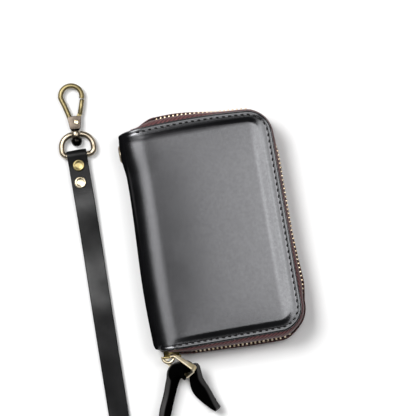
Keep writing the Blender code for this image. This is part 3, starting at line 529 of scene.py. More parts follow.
def sweep(section, frames):
    """A closed outline extruded from frame to frame, with its way along, across and through kept at each point."""
    shape = bmesh.new()
    along = shape.verts.layers.float.new("along")
    across = shape.verts.layers.float.new("across")
    through = shape.verts.layers.float.new("through")
    ring = [shape.verts.new(frames[0] @ Vector((x, y, 0))) for x, y in section]
    edges = [shape.edges.new((ring[i - 1], ring[i])) for i in range(len(ring))]
    ends = list(edges)
    way = 0.0
    thick = max(y for x, y in section)
    for index, matrix in enumerate(frames):
        if index:
            made = bmesh.ops.extrude_edge_only(shape, edges=edges)["geom"]
            ring = [part for part in made if isinstance(part, bmesh.types.BMVert)]
            edges = [part for part in made if isinstance(part, bmesh.types.BMEdge) and part.is_boundary]
            step = frames[index - 1].inverted()
            bmesh.ops.transform(shape, matrix=matrix @ step, verts=ring)
            way += (matrix.translation - frames[index - 1].translation).length
        back = matrix.inverted()
        for vert in ring:
            local = back @ vert.co
            vert[along], vert[across], vert[through] = way, local.x, local.y / thick
    for edge in ends + edges:
        edge.smooth = False
    bmesh.ops.holes_fill(shape, edges=ends + edges, sides=0)
    bmesh.ops.recalc_face_normals(shape, faces=shape.faces)
    return shape


def band_section(width, thick, corner, crown):
    """A flat band's outline: rounded edges, and a face that swells a little towards its middle."""
    side, top = width / 2 - corner, thick / 2 - corner
    quarter = arc((side, top), corner, 0, 90, 4)
    middle = [(side * share, thick / 2 + crown * (1 - share ** 2)) for share in (0.75, 0.5, 0.25, 0)]
    right_top = quarter + middle
    top_half = right_top + [(-x, y) for x, y in reversed(right_top[:-1])]
    return top_half + [(x, -min(y, thick / 2)) for x, y in reversed(top_half)]


ROUTE_STEP = 0.0010
route = route_frames(tail_and_fold + loop, ROUTE_STEP)
leg_cut = min(range(len(route)), key=lambda i: (route[i].translation - loop[0][0]).length)
strap_section = band_section(STRAP_WIDTH, STRAP_THICK, 0.0006, 0.00012)
long_run = route[leg_cut:]
wrist_strap = piece("wrist_strap_band", sweep(strap_section, long_run), strap_leather)
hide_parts("wrist_strap")
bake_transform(wrist_strap)

# %% [markdown]
# ## The strap's tail
#
# The strap's other end comes through the pull ring and folds over it. Its tail narrows to a blunt tip, cut along
# a curve. It is short and stiff.

# %% Fold the tail over the ring
pull_run = route[:leg_cut + 1]
strap_tail = piece("strap_tail", sweep(strap_section, pull_run), strap_leather)
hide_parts("strap_pull_end")
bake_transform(strap_tail)

# %% [markdown]
# ## The strap's hook end
#
# At the hook the strap is split to half its thickness, led round the ring's straight bar and back under itself,
# and held by two rivets. The same sweep makes it, along a line that goes up, round and back.

# %% Fold the hook end round its bar
LAYER = 0.0012
BAR_BEND = 0.0021
layer_mid = LAYER / 2 + 0.00002
end_line = [(-HOOK_END_LENGTH, layer_mid), (-0.0150, layer_mid), (-0.0090, layer_mid), (-0.0056, 0.0007),
            (-0.0030, 0.0013)]
end_line += arc((0, 0), BAR_BEND, 120, -120, 8)
end_line += [(y, -z) for y, z in reversed(end_line[1:5])] + [(-HOOK_END_LENGTH + 0.0008, -layer_mid)]
end_stations = [(STRAP_END + Vector((0, y, z)), FLAT, 1.0, 1.0) for y, z in end_line]
end_section = band_section(STRAP_WIDTH, LAYER, 0.0005, 0.00012)
hook_end = piece("strap_hook_fold", sweep(end_section, route_frames(end_stations, 0.0007)), strap_leather)
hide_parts("strap_hook_end")
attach(hook_end, "back_half")

# %% [markdown]
# ## Brass
#
# Three kinds of brass show. The ring, rivets, zip and slider are pale brass, lacquered and bright. The snap hook is
# antique brass, darkened in a bath and rubbed back, so it is olive and darker in its hollows. Fine wear scratches
# and a slow change of tone keep both from looking like plastic. The slider and the first rivet are coloured a darker
# olive brass, and the hook's stem near black, as painted shade.

# %% Mix the metals
SCRATCH = 0.00030
TONE = 0.0040


def brass(name, dark, light, low, high):
    """Brass whose tone and gloss drift slowly, with fine wear that shows only as a broken shine."""
    made, tree, shader = finish(name, Metallic=1.0)
    place = add(tree, "TexCoord").outputs["Object"]
    tone = add(tree, "TexNoise", {"Vector": place, "Scale": 1 / TONE, "Detail": 4.0, "Roughness": 0.6})
    wear = add(tree, "TexNoise", {"Vector": place, "Scale": 1 / SCRATCH, "Detail": 2.0})
    shade = add(tree, "ValToRGB", {"Fac": tone.outputs["Fac"]}, stops=[(0.32, dark), (0.68, light)])
    gloss = add(tree, "MapRange", {"Value": tone.outputs["Fac"], "To Min": low, "To Max": high})
    bump = add(tree, "Bump", {"Height": wear.outputs["Fac"], "Strength": 0.10, "Distance": 0.00003})
    tree.links.new(shade.outputs["Color"], shader.inputs["Base Color"])
    tree.links.new(gloss.outputs["Result"], shader.inputs["Roughness"])
    tree.links.new(bump.outputs["Normal"], shader.inputs["Normal"])
    print("mixed", name)
    return made


pale_brass = brass("lacquered pale brass", "#837764", "#b4a895", 0.26, 0.38)
cream_brass = brass("bright cream brass", "#b3a484", "#d6cab0", 0.26, 0.36)
gold_brass = brass("polished gold brass", "#efdcae", "#fff6e2", 0.30, 0.42)
antique_brass = brass("rubbed antique brass", "#716648", "#978a64", 0.38, 0.50)
# The near-black brass is painted shade: it colours the hook's stem, whose head fills the dark inside of the ring.
shade_dark_brass = brass("near-black brass as painted shade", "#141312", "#2e2a26", 0.16, 0.26)
# The olive brass is darker than the others as painted shade: it colours the slider, under its crown, and the first
# rivet.
shade_olive_brass = brass("olive brass as painted shade", "#84764f", "#a5976c", 0.30, 0.42)
tooth_brass = brass("tumbled tooth brass", "#cdb594", "#ecdcc4", 0.34, 0.46)
steel = brass("nickelled steel", "#4c443c", "#6e645a", 0.34, 0.48)

# %% [markdown]
# ## Rivets
#
# Each rivet is a turned head with a raised rim and a shallow dish, on a shank through both layers. A turned piece
# is a profile spun about its own axis, so one small tool makes every round part of the metalwork.

# %% Turn the rivets
def turned(profile, where, along, steps=48):
    """A profile of radius and height, spun all the way round and set on its axis."""
    shape = bmesh.new()
    line = [shape.verts.new((radius, 0, height)) for radius, height in profile]
    edges = [shape.edges.new(pair) for pair in zip(line, line[1:])]
    bmesh.ops.spin(shape, geom=line + edges, cent=(0, 0, 0), axis=(0, 0, 1), angle=2 * pi, steps=steps,
                   use_merge=True)
    bmesh.ops.remove_doubles(shape, verts=shape.verts, dist=1e-7)
    bmesh.ops.recalc_face_normals(shape, faces=shape.faces)
    stand = along.to_track_quat("Z", "Y").to_matrix().to_4x4()
    bmesh.ops.transform(shape, matrix=Matrix.Translation(where) @ stand, verts=shape.verts)
    return shape


def gather(shapes):
    """Several bmeshes as one, for a piece made of joined parts."""
    whole = bmesh.new()
    for shape in shapes:
        mesh = bpy.data.meshes.new("part")
        shape.to_mesh(mesh)
        shape.free()
        whole.from_mesh(mesh)
        bpy.data.meshes.remove(mesh)
    return whole


UP = Vector((0, 0, 1))
RIVET_PLACES = (0.0055, 0.0144)
# The two rivets are one metal: the first is coloured the darker olive brass as painted shade, the second the plain
# cream brass.
RIVET_SHADED_AND_PLAIN_FINISHES = (shade_olive_brass, cream_brass)
RIVET_ASIDE = (0.0, -0.0006)
head_profile = [(0, 0.00080), (0.0010, 0.00081), (0.0017, 0.00088), (0.0021, 0.00106), (0.0024, 0.00118),
                (0.0026, 0.00118), (0.0028, 0.00106), (0.0030, 0.0008), (0.0031, 0.0005), (0.0030, 0.0001),
                (0.0012, 0.0), (0.0012, -0.0026), (0.0023, -0.0026), (0.0024, -0.0029), (0, -0.0029)]
for number, (back, aside, metal) in enumerate(zip(RIVET_PLACES, RIVET_ASIDE, RIVET_SHADED_AND_PLAIN_FINISHES), 1):
    seat = STRAP_END + Vector((aside, -back, STRAP_THICK / 2 + 0.0001))
    rivet = piece(f"rivet_{number}", turned(head_profile, seat, UP), metal)
    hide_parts(f"strap_rivet_{number}")
    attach(rivet, "back_half")

# %% [markdown]
# ## Swivel ring
#
# A cast ring, rounded like a D, lies with its straight bar in the strap's fold. Its far side swells into a boss with
# a hole, in which the hook's stem turns. The ring is a round section swept along its outline, starting and ending
# inside the boss, and the boss is turned.

# %% Cast the swivel ring
EYE_WIRE = 0.00148
EYE_HALF = 0.0083
EYE_REACH = 0.0108
EYE_NEAR = 0.0028
EYE_FAR = 0.0066
BOSS_RADIUS = 0.0027
BOSS_HALF = 0.0020
BORE = 0.0013


def eye_place(x, y, z=0.0):
    return EYE_FRAME @ Vector((x, y, z))


def wire_frames(points, spacing, side):
    """Frames along a line of points for a round wire that keeps one side towards a given way."""
    return route_frames([(point, side, 1.0, 1.0) for point in points], spacing)


def circle(radius, steps=16):
    return arc((0, 0), radius, 0, 360, steps)[:-1]


eye_half = [(0.0004, EYE_REACH)] + arc((EYE_HALF - EYE_FAR, EYE_REACH - EYE_FAR), EYE_FAR, 90, 0, 8)
eye_half += arc((EYE_HALF - EYE_NEAR, EYE_NEAR), EYE_NEAR, 0, -90, 5)
eye_line = eye_half + [(-x, y) for x, y in reversed(eye_half)]
eye_points = [eye_place(*point) for point in eye_line]
eye_ahead = EYE_FRAME.to_3x3() @ Vector((0, 1, 0))
ring_shape = sweep(circle(EYE_WIRE), wire_frames(eye_points, 0.0006, UP))
boss_profile = [(BORE, -BOSS_HALF), (0.0021, -BOSS_HALF), (BOSS_RADIUS - 0.0001, -0.0011), (BOSS_RADIUS, 0),
                (BOSS_RADIUS - 0.0002, 0.0011), (0.0022, BOSS_HALF), (BORE, BOSS_HALF), (BORE, -BOSS_HALF)]
boss = turned(boss_profile, eye_place(0, EYE_REACH), eye_ahead)
swivel_ring = piece("swivel_ring", gather([ring_shape, boss]), pale_brass)
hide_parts("swivel_eye")
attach(swivel_ring, "swivel_eye")

# %% [markdown]
# ## Snap hook
#
# The hook is one casting: a flat base, a bar that leans out on the left and a round bow over to the tip. The stem
# below the base passes through the boss and ends in a rounded head. The gate closes the bow on the right, and turns
# on a small pin in the base.

# %% Cast the hook and its stem
HOOK_FOOT = 0.0134
HOOK_WIRE = 0.0013
HOOK_BOW_Y = 0.0308
HOOK_HALF = 0.0055
stem_profile = [(0, -0.0062), (0.0013, -0.0061), (0.0021, -0.0056), (0.0027, -0.0045), (0.0029, -0.0034),
                (0.0028, -0.0026), (0.0023, -0.0021), (0.0010, -0.0020), (0.0010, 0.0020), (0.0021, 0.0021),
                (0.0024, 0.0023), (0.0024, 0.0026), (0, 0.0026)]
# The stem is near black: painted shade for the dark inside of the ring.
stem = piece("hook_stem", turned(stem_profile, eye_place(0, EYE_REACH), eye_ahead), shade_dark_brass)
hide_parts("swivel_post")
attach(stem, "snap_hook")


def plate(outline, low, high, edge, matrix):
    """A flat plate between two heights, its long edges rounded, set in place."""
    shape = bmesh.new()
    face = shape.faces.new([shape.verts.new((x, y, low)) for x, y in outline])
    made = bmesh.ops.extrude_face_region(shape, geom=[face])["geom"]
    lifted = [part for part in made if isinstance(part, bmesh.types.BMVert)]
    bmesh.ops.translate(shape, vec=(0, 0, high - low), verts=lifted)
    bmesh.ops.recalc_face_normals(shape, faces=shape.faces)
    rims = [e for e in shape.edges if abs(e.verts[0].co.z - e.verts[1].co.z) < 1e-9]
    bmesh.ops.bevel(shape, geom=rims, affect="EDGES", offset=edge, segments=3, profile=0.5, material=-1)
    bmesh.ops.transform(shape, matrix=matrix, verts=shape.verts)
    return shape


bow_line = [(-0.0017, HOOK_FOOT + 0.0030), (-0.0022, HOOK_FOOT + 0.0062), (-0.0038, 0.0254)]
bow_line += arc((0, HOOK_BOW_Y), HOOK_HALF, 186, -19, 16)
bow_frames = wire_frames([eye_place(*point) for point in bow_line], 0.0006, UP)
bow = sweep(circle(HOOK_WIRE), bow_frames)
base_line = [(-0.0033, HOOK_FOOT + 0.0062), (-0.0027, HOOK_FOOT + 0.0008), (-0.0022, HOOK_FOOT),
             (0.0024, HOOK_FOOT), (0.0029, HOOK_FOOT + 0.0008), (0.0037, HOOK_FOOT + 0.0062),
             (0.0030, HOOK_FOOT + 0.0068), (-0.0026, HOOK_FOOT + 0.0068)]
EAR_IN, EAR_OUT = 0.0011, 0.0019
ears = [plate(base_line, EAR_IN, EAR_OUT, 0.0002, EYE_FRAME), plate(base_line, -EAR_OUT, -EAR_IN, 0.0002, EYE_FRAME)]
web_line = [(x, y) if x < 0 else (-0.0003, y) for x, y in base_line]
ears.append(plate(web_line, -EAR_IN - 0.0001, EAR_IN + 0.0001, 0.0001, EYE_FRAME))
foot_line = [(x, min(y, HOOK_FOOT + 0.0022)) for x, y in base_line]
foot_line = foot_line[1:5] + [(0.0030, HOOK_FOOT + 0.0020), (-0.0028, HOOK_FOOT + 0.0020)]
ears.append(plate(foot_line, -EAR_IN - 0.0001, EAR_IN + 0.0001, 0.0001, EYE_FRAME))
hook = piece("hook_bow", bow, antique_brass)
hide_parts("hook_body")
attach(hook, "snap_hook")
base = piece("hook_base", gather(ears), steel)
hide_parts("hook_body")
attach(base, "snap_hook")

# %% Hang the gate on its pin
GATE_PIVOT = (0.0010, 0.0170)
GATE_TIP = (0.0055, 0.0287)
pin_profile = [(0, 0.0021), (0.0005, 0.00208), (0.0008, 0.0022), (0.0011, 0.0022), (0.0012, 0.00205), (0.0012, 0.0019),
               (0.0007, 0.0019), (0.0007, -0.0019), (0.0012, -0.0019), (0.0011, -0.0021), (0, -0.0021)]
pin = piece("gate_rivet", turned(pin_profile, eye_place(*GATE_PIVOT), UP), cream_brass)
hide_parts("gate_pin")
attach(pin, "snap_hook")
BAR_FOOT = Vector((0.0033, 0.0207, 0))
gate_way = (Vector((*GATE_TIP, 0)) - BAR_FOOT).normalized()
gate_start = eye_place(*BAR_FOOT)
gate_axis = EYE_FRAME.to_3x3() @ gate_way
bar_profile = [(0, -0.0002), (0.0010, 0), (0.0012, 0.0003), (0.0012, 0.0077), (0.0010, 0.0081), (0, 0.0082)]
gate_bar = turned(bar_profile, gate_start, gate_axis, 24)
across = Vector((gate_way.y, -gate_way.x, 0))
lean = degrees(atan2(gate_way.x, gate_way.y))
tongue_line = arc(GATE_PIVOT, 0.0012, 180 - lean, 360 - lean, 10)
tongue_end = BAR_FOOT + gate_way * 0.0010
tongue_line += [tuple((tongue_end + across * 0.0011)[:2]), tuple((tongue_end - across * 0.0011)[:2])]
tongue = plate(tongue_line, -0.0008, 0.0008, 0.0002, EYE_FRAME)
gate = piece("gate_bar", gather([gate_bar, tongue]), antique_brass)
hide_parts("hook_gate")
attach(gate, "hook_gate")

# %% [markdown]
# ## Zip tape
#
# The tape is woven polyester in a dark maroon. One edge is sewn under the cover, and from there it leans out and stands
# up to carry the teeth. Its section is drawn once, as the distance out from the cover's edge and the height, and swept
# along the bottom, the opening edge and the top. At the top it runs out under the leather before it reaches the spine.

# %% Mix the tape and the thread
RIB = 0.0006
tape_finish, tree, shader = finish("woven maroon polyester tape", Roughness=0.75, Sheen_Weight=0.15)
along = add(tree, "Attribute", attribute_name="along").outputs["Fac"]
across = add(tree, "Attribute", attribute_name="across").outputs["Fac"]
twill = add(tree, "CombineXYZ", {"X": along, "Y": across})
ribs = add(tree, "TexWave", {"Vector": twill.outputs["Vector"], "Scale": 1 / RIB / 6.28, "Distortion": 1.2,
                             "Detail": 1.0}, bands_direction="DIAGONAL")
fuzz = add(tree, "TexNoise", {"Vector": add(tree, "TexCoord").outputs["Object"], "Scale": 1 / 0.0012, "Detail": 3.0})
both = add(tree, "Math", {0: ribs.outputs["Fac"], 1: fuzz.outputs["Fac"]}, operation="MULTIPLY")
shade = add(tree, "ValToRGB", {"Fac": both.outputs["Value"]}, stops=[(0.05, "#331719"), (0.75, "#80494a")])
weave = add(tree, "Bump", {"Height": ribs.outputs["Fac"], "Strength": 0.6, "Distance": 0.0001})
tree.links.new(shade.outputs["Color"], shader.inputs["Base Color"])
tree.links.new(weave.outputs["Normal"], shader.inputs["Normal"])
thread_finish, tree, shader = finish("waxed black thread", Roughness=0.6, Specular_IOR_Level=0.15)
lay = add(tree, "TexWave", {"Vector": add(tree, "TexCoord").outputs["Object"], "Scale": 1 / 0.0004 / 6.28},
          bands_direction="DIAGONAL")
shade = add(tree, "ValToRGB", {"Fac": lay.outputs["Fac"]}, stops=[(0.2, "#030303"), (0.8, "#0d0d0d")])
twist = add(tree, "Bump", {"Height": lay.outputs["Fac"], "Strength": 0.4, "Distance": 0.00005})
tree.links.new(shade.outputs["Color"], shader.inputs["Base Color"])
tree.links.new(twist.outputs["Normal"], shader.inputs["Normal"])
print("mixed", tape_finish.name, "and", thread_finish.name)


# %% Walk round the zip's three sides
TAPE_REACH = 0.0024
OPEN_SIDE_REACH = 0.0009
LOW_SLACK = 0.0012
SPINE_SIDE_SLACK = 0.5
CORNER_TUCK = 0.45
TOP_SLACK = 0.0016
ZIP_LEFT = -0.0324
BOTTOM_DRAW = (-0.0360, -0.0180)
TOP_DRAW = (-0.0330, -0.0200)


def three_sides(inset, spacing, left=ZIP_LEFT):
    """Places along the cover's bottom, opening and top edges, drawn in by an inset, with the way out of the cover."""
    radius = CORNER - inset
    centre = (HALF_WIDTH - CORNER, HALF_LENGTH - CORNER)
    run, bend, side = centre[0] - left, radius * pi / 2, 2 * centre[1]
    total = 2 * run + 2 * bend + side
    count = round(total / spacing)
    places = []
    for index in range(count + 1):
        way = total * index / count
        if way <= run:
            places.append((Vector((left + way, -centre[1] - radius, 0)), Vector((0, -1, 0))))
        elif way <= run + bend:
            angle = (way - run) / radius - pi / 2
            out = Vector((cos(angle), sin(angle), 0))
            places.append((Vector((centre[0], -centre[1], 0)) + out * radius, out))
        elif way <= run + bend + side:
            places.append((Vector((centre[0] + radius, way - run - bend - centre[1], 0)), Vector((1, 0, 0))))
        elif way <= run + 2 * bend + side:
            angle = (way - run - bend - side) / radius
            out = Vector((cos(angle), sin(angle), 0))
            places.append((Vector((centre[0], centre[1], 0)) + out * radius, out))
        else:
            back = way - run - 2 * bend - side
            places.append((Vector((centre[0] - back, centre[1] + radius, 0)), Vector((0, 1, 0))))
    return [(softened(where), out) for where, out in places]


def by_corner(where):
    """1 round the two corners of the opening edge, 0 away from them."""
    along = ease(abs(where.y), HALF_LENGTH - 2 * CORNER, HALF_LENGTH - CORNER)
    return along * ease(where.x, HALF_WIDTH - CORNER, HALF_WIDTH - CORNER / 3)


def run_out(where):
    """How far the zip stands out, as a share: slacker below and on top, and drawn in towards the spine."""
    low = ease(-where.y, 0.0, HALF_LENGTH - CORNER) * (SPINE_SIDE_SLACK + (1 - SPINE_SIDE_SLACK) * ease(where.x, -0.020, 0.015))
    slack = ease(-where.x, -0.020, 0.012) * ease(where.y, HALF_LENGTH - CORNER, HALF_LENGTH)
    reach = OPEN_SIDE_REACH + LOW_SLACK * low + TOP_SLACK * slack
    reach *= 1 - CORNER_TUCK * by_corner(where)
    return reach / TAPE_REACH * ease(where.x, *(TOP_DRAW if where.y > 0 else BOTTOM_DRAW))


TAPE_THICK = 0.0005
BACK_OUT = 0.0018
tape_line = [(-0.0024, 0.00135), (-0.0006, 0.00140), (0.0005, 0.00175), (0.0014, 0.00265), (0.0021, 0.00390),
             (0.0023, 0.00530), (TAPE_REACH, 0.00680), (TAPE_REACH, 0.00830)]


def tape(name, front):
    """One tape, its section carried round the three sides and drawn in where it runs out."""
    shape = bmesh.new()
    along = shape.verts.layers.float.new("along")
    across = shape.verts.layers.float.new("across")
    way = 0.0
    edges = []
    places = three_sides(0, 0.0012)
    for index, (where, out) in enumerate(places):
        if index:
            way += (where - places[index - 1][0]).length
            made = bmesh.ops.extrude_edge_only(shape, edges=edges)["geom"]
            line = [part for part in made if isinstance(part, bmesh.types.BMVert)]
            edges = [part for part in made if isinstance(part, bmesh.types.BMEdge)]
            edges = [e for e in edges if e.verts[0] in line and e.verts[1] in line]
        else:
            line = [shape.verts.new((0, 0, 0)) for point in tape_line]
            edges = [shape.edges.new(pair) for pair in zip(line, line[1:])]
        for vert, (reach, height) in zip(line, tape_line):
            drawn = reach * run_out(where) if reach > 0 else reach
            drawn += 0 if front else BACK_OUT * run_out(where) * max(0.0, reach) / TAPE_REACH
            vert.co = where + out * drawn + UP * (THICK - height if front else height)
            vert[along], vert[across] = way, reach + height
    bmesh.ops.recalc_face_normals(shape, faces=shape.faces)
    made = piece(name, shape, tape_finish)
    cloth = made.modifiers.new("cloth", "SOLIDIFY")
    cloth.thickness = TAPE_THICK
    cloth.offset = 0.0
    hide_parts(name.replace("_cloth", "_zip_tape"))
    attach(made, "front_half" if front else "back_half")
    return made


back_cloth = tape("back_cloth", False)
front_cloth = tape("front_cloth", True)

# %% [markdown]
# ## Zip teeth
#
# A metal zip's teeth are small clips, pinched one by one on the tape's edge, the two rows half a pitch apart so that
# they mesh. One clip is a cube with its edges rounded; it is copied along each tape's edge.

# %% Pinch the teeth on the tapes
TOOTH_PITCH = 0.0022
TOOTH_SIZE = (0.0010, 0.0024, 0.0021)
TOOTH_EDGE = 0.00025
TOOTH_MIDDLE = 0.0013
BACK_ROW_IN = 0.0013
TOP_TEETH_END = -0.0200
BOTTOM_TEETH_END = -0.0255
TUCK = 0.0010
CORNER_TEETH_TUCK = 0.0013
TUCKED = (-0.0210, -0.0170)


def teeth(name, front):
    """One row of clips, which mesh with the other row and tuck in behind the tape near the slider."""
    places = three_sides(0, TOOTH_PITCH / 2)[(1 if front else 2)::2]
    whole = bmesh.new()
    for where, out in places:
        if where.x < (TOP_TEETH_END if where.y > 0 else BOTTOM_TEETH_END):
            continue
        reach = TAPE_REACH * run_out(where) - TUCK * (1 - ease(where.x, *TUCKED)) - CORNER_TEETH_TUCK * by_corner(where)
        drawn = where + out * (reach if front else reach - BACK_ROW_IN)
        height = THICK / 2 + (TOOTH_MIDDLE if front else -TOOTH_MIDDLE)
        ahead = UP.cross(out)
        turn = Matrix((ahead, out, UP)).transposed().to_4x4()
        made = bmesh.ops.create_cube(whole, size=1.0)["verts"]
        bmesh.ops.scale(whole, vec=TOOTH_SIZE, verts=made)
        rims = list({edge for vert in made for edge in vert.link_edges})
        made = bmesh.ops.bevel(whole, geom=rims, affect="EDGES", offset=TOOTH_EDGE, segments=2, profile=0.5,
                               material=-1)["verts"]
        bmesh.ops.transform(whole, matrix=Matrix.Translation(drawn + UP * height) @ turn, verts=made)
    row = piece(name, whole, tooth_brass)
    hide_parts(name.replace("_clips", "_zip_teeth"))
    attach(row, "front_half" if front else "back_half")
    return row


back_clips = teeth("back_clips", False)
front_clips = teeth("front_clips", True)

# %% [markdown]
# ## Stitching
#
# A lockstitch holds cover and tape together, about 2 mm in from the edge. Each stitch that shows is a short plump
# length of thread, pulled down at a slant into its two needle holes. One rounded grain is copied along the line.

# %% Sew the covers
STITCH = Vector((0.0021, 0.0010, 0.0003))
STITCH_SLANT = radians(16)
SEW_LEFT = -0.0290


def stitches(name, front):
    """One cover's row of stitches."""
    row = bmesh.new()
    grain = Matrix.Rotation(STITCH_SLANT, 4, "Z") @ Matrix.Diagonal((*STITCH, 1))
    for where, out in three_sides(STITCH_INSET, STITCH_PITCH, SEW_LEFT):
        turn = Matrix((UP.cross(out), out, UP)).transposed().to_4x4()
        lifted = where + UP * (THICK - GROOVE_DEPTH if front else GROOVE_DEPTH)
        made = bmesh.ops.create_uvsphere(row, u_segments=8, v_segments=6, radius=0.5)["verts"]
        bmesh.ops.transform(row, matrix=Matrix.Translation(lifted) @ turn @ grain, verts=made)
    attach(piece(name, row, thread_finish), "front_half" if front else "back_half")


stitches("front_stitches", True)
stitches("back_stitches", False)

# %% [markdown]
# ## Slider
#
# The slider rides on the teeth: one plate outside them, one inside, and a web between the two tapes. It is a casting,
# so its plates are rounded at the corners and its outer plate is a little narrower at the tail than at the mouth. The
# zip leans out by two degrees from the spine to the corner, so the slider stands on that line.

# %% Cast the slider
SLIDER_PLACE = Vector((-0.0310, -0.058199, THICK / 2))
SLIDER_SLANT = atan(0.0021 / 0.0601)
SLIDER_FRAME = Matrix.Translation(SLIDER_PLACE) @ Matrix.Rotation(-SLIDER_SLANT, 4, "Z")
SLIDER_HALF = 0.0050
SLIDER_TALL = 0.0028
SLOT_IN, SLOT_OUT = 0.0029, 0.0020
SLIDER_FACE, SLIDER_OUT = 0.0036, 0.0031
WEB_HALF = 0.0002
STAND = Matrix(((1, 0, 0, 0), (0, 0, -1, 0), (0, 1, 0, 0), (0, 0, 0, 1)))
mouth, tail = SLIDER_TALL, SLIDER_TALL - 0.0004
half_plate = arc((SLIDER_HALF - 0.0011, tail - 0.0011), 0.0011, 0, 90, 6)
half_plate += arc((0.0011 - SLIDER_HALF, mouth - 0.0011), 0.0011, 90, 180, 6)
plate_line = half_plate + [(x, -y) for x, y in reversed(half_plate)]
web_line = [(-0.0040, -WEB_HALF), (0.0040, -WEB_HALF), (0.0040, WEB_HALF), (-0.0040, WEB_HALF)]
upright_slider = SLIDER_FRAME @ STAND
slider_parts = [plate(plate_line, SLOT_OUT, SLIDER_OUT, 0.0004, upright_slider),
                plate(plate_line, -SLIDER_FACE, -SLOT_IN, 0.0003, upright_slider),
                plate(web_line, -SLOT_IN - 0.0002, SLOT_OUT + 0.0002, 0.0001, upright_slider)]
# The slider takes the darker olive brass: painted shade, for the slider lying under its crown.
slider = piece("slider_casting", gather(slider_parts), shade_olive_brass)
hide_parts("zip_slider")
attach(slider, "zip_slider")

# %% [markdown]
# ## Crown and pull ring
#
# A crown, one stout bent wire, stands on the slider and holds the pull. The pull ring is a flat band bent to a loop:
# narrow where it hangs in the crown and flared where the strap goes through. Its section is swept round the loop and
# widened on the way.

# %% Bend the crown and the pull ring
CROWN_WIRE = 0.0008
CROWN_RADIUS = 0.0029
CROWN_AHEAD = 0.0019
CROWN_OUT = 0.0024
crown_line = [(-CROWN_AHEAD - CROWN_RADIUS, -SLOT_OUT + 0.0002)]
crown_line += arc((-CROWN_AHEAD, -CROWN_OUT), CROWN_RADIUS, 180, 360, 16)
crown_line += [(-CROWN_AHEAD + CROWN_RADIUS, -SLOT_OUT + 0.0002)]
crown_frames = wire_frames([SLIDER_FRAME @ Vector((x, y, 0)) for x, y in crown_line], 0.0005, UP)
crown = piece("crown_wire", sweep(circle(CROWN_WIRE), crown_frames), cream_brass)
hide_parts("slider_crown")
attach(crown, "zip_slider")

RING_LENGTH = 0.0142
RING_INSIDE = 0.0056
RING_STOCK = 0.0010
RING_CORNER = 0.0020
RING_NEAR_BAND = 0.0014
RING_FAR_BAND = 0.0034
across_half = RING_INSIDE + RING_STOCK / 2
ring_line = arc((RING_LENGTH - RING_CORNER, RING_CORNER - across_half), RING_CORNER, -90, 0, 5)
ring_line += arc((RING_LENGTH - RING_CORNER, across_half - RING_CORNER), RING_CORNER, 0, 90, 5)
ring_line += arc((RING_CORNER, across_half - RING_CORNER), RING_CORNER, 90, 180, 5)
ring_line += arc((RING_CORNER, RING_CORNER - across_half), RING_CORNER, 180, 270, 5)
ring_line.append(ring_line[0])
ring_places = [by_ring(along, 0, across) for along, across in ring_line]
flare = RING_FAR_BAND / RING_NEAR_BAND - 1
ring_stations = [(where, RING_SQUARE, 1 + flare * (where - RING_PIN).dot(RING_ALONG) / RING_LENGTH, 1.0)
                 for where in ring_places]
ring_section = band_section(RING_NEAR_BAND, RING_STOCK, 0.0002, 0.00006)
ring = piece("pull_band", sweep(ring_section, route_frames(ring_stations, 0.0006)), gold_brass)
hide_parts("pull_ring")
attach(ring, "zip_pull")

# %% [markdown]
# ## Eyelet on the spine
#
# A brass eyelet near the top of the spine takes the hook. Its flange is spun over outside the leather, and a washer
# backs it inside. The barrel goes through, so the hole is open.

# %% Set the eyelet
EYELET_PLACE = Vector((-HALF_WIDTH, 0.04705, THICK / 2))
eyelet_profile = [(0.0018, 0.0003), (0.0021, 0.0009), (0.0026, 0.0012), (0.0034, 0.00115), (0.0042, 0.0008),
                  (0.0047, 0.0003), (0.0026, 0.0002), (0.0026, -0.0032), (0.0018, -0.0032), (0.0018, 0.0003)]
eyelet = piece("eyelet_flange", turned(eyelet_profile, EYELET_PLACE, Vector((-1, 0, 0))), pale_brass)
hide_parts("spine_eyelet")
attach(eyelet, "spine")
washer_profile = [(0.0029, 0), (0.0045, 0), (0.0047, -0.0002), (0.0045, -0.0006), (0.0029, -0.0006), (0.0029, 0)]
washer_place = EYELET_PLACE + Vector((0.0026, 0, 0))
washer = piece("washer_disc", turned(washer_profile, washer_place, Vector((-1, 0, 0))), pale_brass)
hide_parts("eyelet_washer")
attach(washer, "spine")

# %% [markdown]
# ## Lining and card pockets
#
# Inside, each cover has a cloth lining over its board and three card pockets of thin leather, stepped so that every
# card shows. They are seen only when the wallet is opened. The lining is a twill, its threads drawn by two crossed
# waves, and the pockets are the cover leather, pared thin.

# %% Weave the lining
THREAD = 0.0005
lining_finish, tree, shader = finish("black twill lining", Roughness=0.8, Sheen_Weight=0.2)
place = add(tree, "TexCoord").outputs["Object"]
warp = add(tree, "TexWave", {"Vector": place, "Scale": 1 / THREAD / 6.28}, bands_direction="X")
weft = add(tree, "TexWave", {"Vector": place, "Scale": 1 / THREAD / 6.28}, bands_direction="Y")
cloth = add(tree, "Math", {0: warp.outputs["Fac"], 1: weft.outputs["Fac"]}, operation="MULTIPLY")
shade = add(tree, "ValToRGB", {"Fac": cloth.outputs["Value"]}, stops=[(0.0, "#0c0b0b"), (1.0, "#2a2727")])
weave = add(tree, "Bump", {"Height": cloth.outputs["Value"], "Strength": 0.5, "Distance": 0.00008})
tree.links.new(shade.outputs["Color"], shader.inputs["Base Color"])
tree.links.new(weave.outputs["Normal"], shader.inputs["Normal"])
board_finish, tree, shader = finish("grey bookboard", Roughness=0.9)
pulp = add(tree, "TexNoise", {"Vector": add(tree, "TexCoord").outputs["Object"], "Scale": 1 / 0.0008, "Detail": 5.0})
shade = add(tree, "ValToRGB", {"Fac": pulp.outputs["Fac"]}, stops=[(0.3, "#5c5248"), (0.7, "#7d7266")])
tree.links.new(shade.outputs["Color"], shader.inputs["Base Color"])
for half in ("back", "front"):
    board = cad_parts[half + "_board"].data.materials
    board.clear()
    board.append(board_finish)
print("mixed", lining_finish.name, "and", board_finish.name)


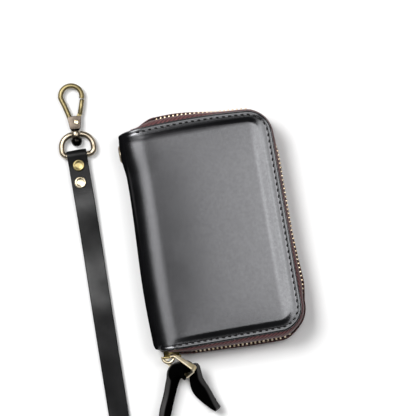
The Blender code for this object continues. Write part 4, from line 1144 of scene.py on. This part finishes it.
# %% Line the covers and sew the pockets
SEAT = 0.0003
LINING_LOW = 0.0032
LINING_THICK = 0.0006
LINING_INSET = 0.0020
POCKET_THICK = 0.0007
POCKET_STEP = 0.0110
POCKET_DEPTH = 0.0590
POCKET_FOOT = FOLD_X + 0.0040
POCKET_HALF = HALF_LENGTH - CORNER
POCKET_CORNER = 0.0025


def inner_sheet(name, outline, low, thick, front, material):
    """A flat layer of one cover, measured in from its outer face, with its edges a little rounded."""
    low, high = (THICK - low - thick, THICK - low) if front else (low, low + thick)
    made = piece(name, plate(outline, low, high, thick / 3, Matrix()), material)
    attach(made, "front_half" if front else "back_half")
    return made


for half in ("back", "front"):
    front = half == "front"
    right, far, corner = HALF_WIDTH - LINING_INSET, HALF_LENGTH - LINING_INSET, CORNER - LINING_INSET
    lining_line = [(FOLD_X + SEAT, far), (FOLD_X + SEAT, -far)]
    lining_line += arc((right - corner, corner - far), corner, -90, 0, 12)
    lining_line += arc((right - corner, far - corner), corner, 0, 90, 12)
    made = inner_sheet(half + "_twill", lining_line, LINING_LOW, LINING_THICK, front, lining_finish)
    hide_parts(half + "_lining")
    level = LINING_LOW + LINING_THICK + SEAT
    for pocket in range(3):
        mouth = POCKET_FOOT + POCKET_DEPTH - POCKET_STEP * pocket
        inner = POCKET_HALF - POCKET_CORNER
        pocket_line = [(POCKET_FOOT, POCKET_HALF), (POCKET_FOOT, -POCKET_HALF)]
        pocket_line += arc((mouth - POCKET_CORNER, -inner), POCKET_CORNER, -90, 0, 6)
        pocket_line += arc((mouth - POCKET_CORNER, inner), POCKET_CORNER, 0, 90, 6)
        made = inner_sheet(f"{half}_pocket_{pocket + 1}", pocket_line, level, POCKET_THICK, front, leather)
        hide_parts(f"{half}_card_pocket_{pocket + 1}")
        level += POCKET_THICK + SEAT
spine_line = [(-0.0558, -0.0046), (0.0558, -0.0046), (0.0558, 0.0046), (-0.0558, 0.0046)]
spine_turn = Matrix(((0, 0, 1, -HALF_WIDTH), (1, 0, 0, 0), (0, 1, 0, THICK / 2), (0, 0, 0, 1)))
spine_strip = piece("spine_twill", plate(spine_line, 0.0017, 0.0023, 0.0002, spine_turn), lining_finish)
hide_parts("spine_lining")
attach(spine_strip, "spine")
